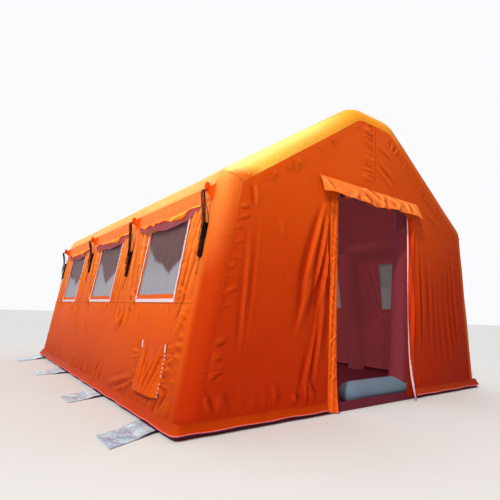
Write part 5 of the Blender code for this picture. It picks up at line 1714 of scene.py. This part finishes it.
def storm_strips():
    """Strips of cloth beside the doorway: the left one gathered, the right one free with a pale edge."""
    sizes = {
        "left": (-DOOR_HALF_WIDTH - 0.09, -DOOR_HALF_WIDTH, 0.045, 0.006, 1.5),
        "right": (DOOR_HALF_WIDTH + 0.125, DOOR_HALF_WIDTH, 0.1, 0.016, 1),
    }
    out, down = np.meshgrid(np.linspace(0, 1, 25), np.linspace(0, 1, 241))
    tall = STRIP_TOP - STRIP_FOOT
    hang = np.minimum(1, 4 * out) * (1 - 0.7 * out**4)
    kick = 0.15 * down**2 + 0.85 * down**9
    for name, (hinge, edge, flare, depth, waves) in sizes.items():
        wave = np.sin(2 * np.pi * (waves * out + 1.7 * down)) * np.sin(np.pi * out)
        proud = STRIP_CLEARANCE + FIT + depth * (hang + wave) + flare * kick * out**1.5
        wide = abs(edge - hinge)
        if name == "left":
            finish, rim = strip_cloth, 2
            folds = strip_gathers(wide, tall)
        else:
            # The right strip takes the darker copy: painted shade.
            finish, rim = shaded_strip_cloth, 0.93
            folds = [*STRIP_FOLDS, *puckers(0.11, 0.05, 0.115, 1.8, 16, 0.05, 0.011, 0.003, math.pi)]
        lift = fold_height(out * wide, down * tall, folds)
        proud = proud + np.clip(lift, -0.003, 0.013) * unit(out / 0.08)
        points = grid(hinge + (edge - hinge) * out, -HALF_LENGTH - proud, STRIP_TOP - tall * down)

        def pale_edge(across, depth, limit=rim * wide, widest=0.3 * wide, low=1.45):
            return across > limit - widest * unit((depth - low) / 0.4)

        looks = {"zones": pale_edge, "thickness": 0.0014, "fold_reach": 0.025}
        flat = (out * wide, down * tall)
        strip = cloth_object(f"strip_cloth_{name}", points, flat, [finish, white_tape, lining], **looks)
        body = f"storm_strip_{name}"
        dress(strip, body, (body,))


def service_flap():
    """The flap over the service port, puckered at its seams and standing off at its foot."""
    wide, deep = FLAP_WIDTH, FLAP_TOP - FLAP_BOTTOM
    s, down = np.meshgrid(np.linspace(0, 1, 61), np.linspace(0, 1, 49))
    folds = [*FLAP_FOLDS, *puckers(0.02, 0.06, 0.02, 0.38, 8, 0.06, 0.01, 0.005, 0)]
    folds += puckers(0.47, 0.06, 0.47, 0.38, 8, 0.06, 0.01, 0.005, math.pi)
    lift = fold_height(s * wide, down * deep, folds)
    pucker = 0.004 * down * np.abs(np.sin(3 * np.pi * s))
    billow = 0.045 * down**1.5 * np.sin(np.pi * s) ** 0.4
    out = 0.0033 + pucker + billow + np.clip(lift, -0.004, 0.016) * unit(down / 0.06)
    points = on_wall(-1, PORT[0] + (0.5 - s) * wide, FLAP_TOP - deep * down, out)
    flat = (s * wide, down * deep)
    flap = cloth_object("service_flap_cloth", points, flat, [flap_cloth, lining], thickness=0.0014)
    tapes = []
    for place in (0.004, 0.486):
        share, up = np.meshgrid(np.linspace(-0.5, 0.5, 4), np.linspace(0.53, 0.59, 9))
        y = PORT[0] + wide / 2 - place + share * 0.022
        tapes.append(strip_on_wall("flap_tab", -1, y, up, 0.0075 + 0.002 * np.sin(up * 90), white_tape))
    for i in range(11):
        low = 0.2 + i * 0.03
        share, up = np.meshgrid(np.linspace(-0.5, 0.5, 3), np.linspace(low, low + 0.016, 4))
        y = PORT[0] - wide / 2 - 0.008 + share * 0.012
        tapes.append(strip_on_wall("flap_stitch", -1, y, up, 0.0048, white_tape))
    stitches = join("service_flap_tapes", tapes)
    dress(flap, "service_flap", ("service_flap",))
    dress(stitches)


# Guy tabs

TAB_MIDDLE = 1.768
TAB_RIM = (
    *((0, TAB_BOTTOM), (0.02, 1.722), (0.04, 1.735), (0.058, 1.745), (0.07, 1.7495), (0.0775, 1.755)),
    *((0.08, 1.765), (0.077, 1.7755), (0.07, 1.782), (0.058, 1.792), (0.04, 1.808), (0.02, 1.826)),
    (0, TAB_TOP),
)


def guy_tabs():
    """Fins of doubled cloth under the eaves, stitched round, with a bright rounded tongue and an eyelet."""
    rim = smooth_chain(TAB_RIM, 3)
    shares = np.array([0.0, 0.35, 0.65, 0.85, 0.95, 1.0])[:, None]
    reach = rim[:, 0] * (0.25 + 0.75 * shares)
    up = TAB_MIDDLE + (rim[:, 1] - TAB_MIDDLE) * shares
    puff = 0.0048 * (1 - shares**2) * unit(reach / 0.03) + 0.0008
    cup = 0.003 * np.sin(reach * 40) * unit(reach / 0.02)
    finishes = [trim_cloth, red_band, trim_cloth]
    for name, side in SIDES.items():
        for index in range(ARCHES):
            y = tab_y(index)
            looks = {"zones": lambda out, _: out > 0.048, "thickness": 0}
            looks["away_from"] = on_wall(side, y, TAB_MIDDLE, 0.03)
            pieces = []
            for face in (-1, 1):
                points = on_wall(side, y + face * puff + cup * 0.3, up, FIT + reach)
                pieces.append(cloth_object("tab_face", points, (reach, up - TAB_BOTTOM), finishes, **looks))
            pieces += tongue_faces(side, y, 1.0 if index == 0 else 0.8)
            tab = join(f"guy_tab_cloth_{name}_{index + 1}", pieces)
            ring = eyelet(f"tab_eyelet_{name}_{index + 1}", (0, 0, 0), TAB_EYELET)
            spot = wall_spot(side, y, TAB_TIP, FIT + TAB_LENGTH - TAB_TIP_RADIUS)
            ring.data.transform(Matrix.Translation(spot) @ Matrix.Rotation(math.pi / 2, 4, "X"))
            dress(tab, nodes=(f"guy_tab_{name}_{index + 1}",))
            dress(ring)


def tongue_faces(side, y, size):
    """The bright rounded tongue at a tab's tip: two faces of an oval, puffed apart."""
    faces = []
    reach, turn = np.meshgrid(np.linspace(0, 1, 7), np.linspace(0, 2 * np.pi, 25))
    middle, high = TAB_LENGTH - 0.014, TAB_TIP + 0.028
    out = middle + 0.025 * size * reach * np.cos(turn)
    up = high + 0.036 * size * reach * np.sin(turn)
    puff = 0.0072 * np.sqrt(unit(1 - reach**2)) + 0.0008
    looks = {"thickness": 0, "away_from": on_wall(side, y, high, middle)}
    for face in (-1, 1):
        points = on_wall(side, y + face * puff, up, FIT + out)
        flat = (out, up - TAB_BOTTOM)
        faces.append(cloth_object("tongue_face", points, flat, [tongue_cloth, tongue_cloth], **looks))
    return faces


place_camera()
guy_lines()
light_studio()
lay_stage()
side_walls()
roof_cover()
corner_sleeves()
gables()
ground_skirt()
groundsheet()
anchor_flaps()
air_frame()
door_posts()
windows()
door_hood()
curtain_roll()
storm_strips()
service_flap()
guy_tabs()
plastics = {"inlet_valve": grey_plastic, "inlet_valve_cap": black_plastic, "relief_valve": grey_plastic}
for node, finish in plastics.items():
    data = bpy.data.objects[node].data
    data.materials.clear()
    data.materials.append(finish)
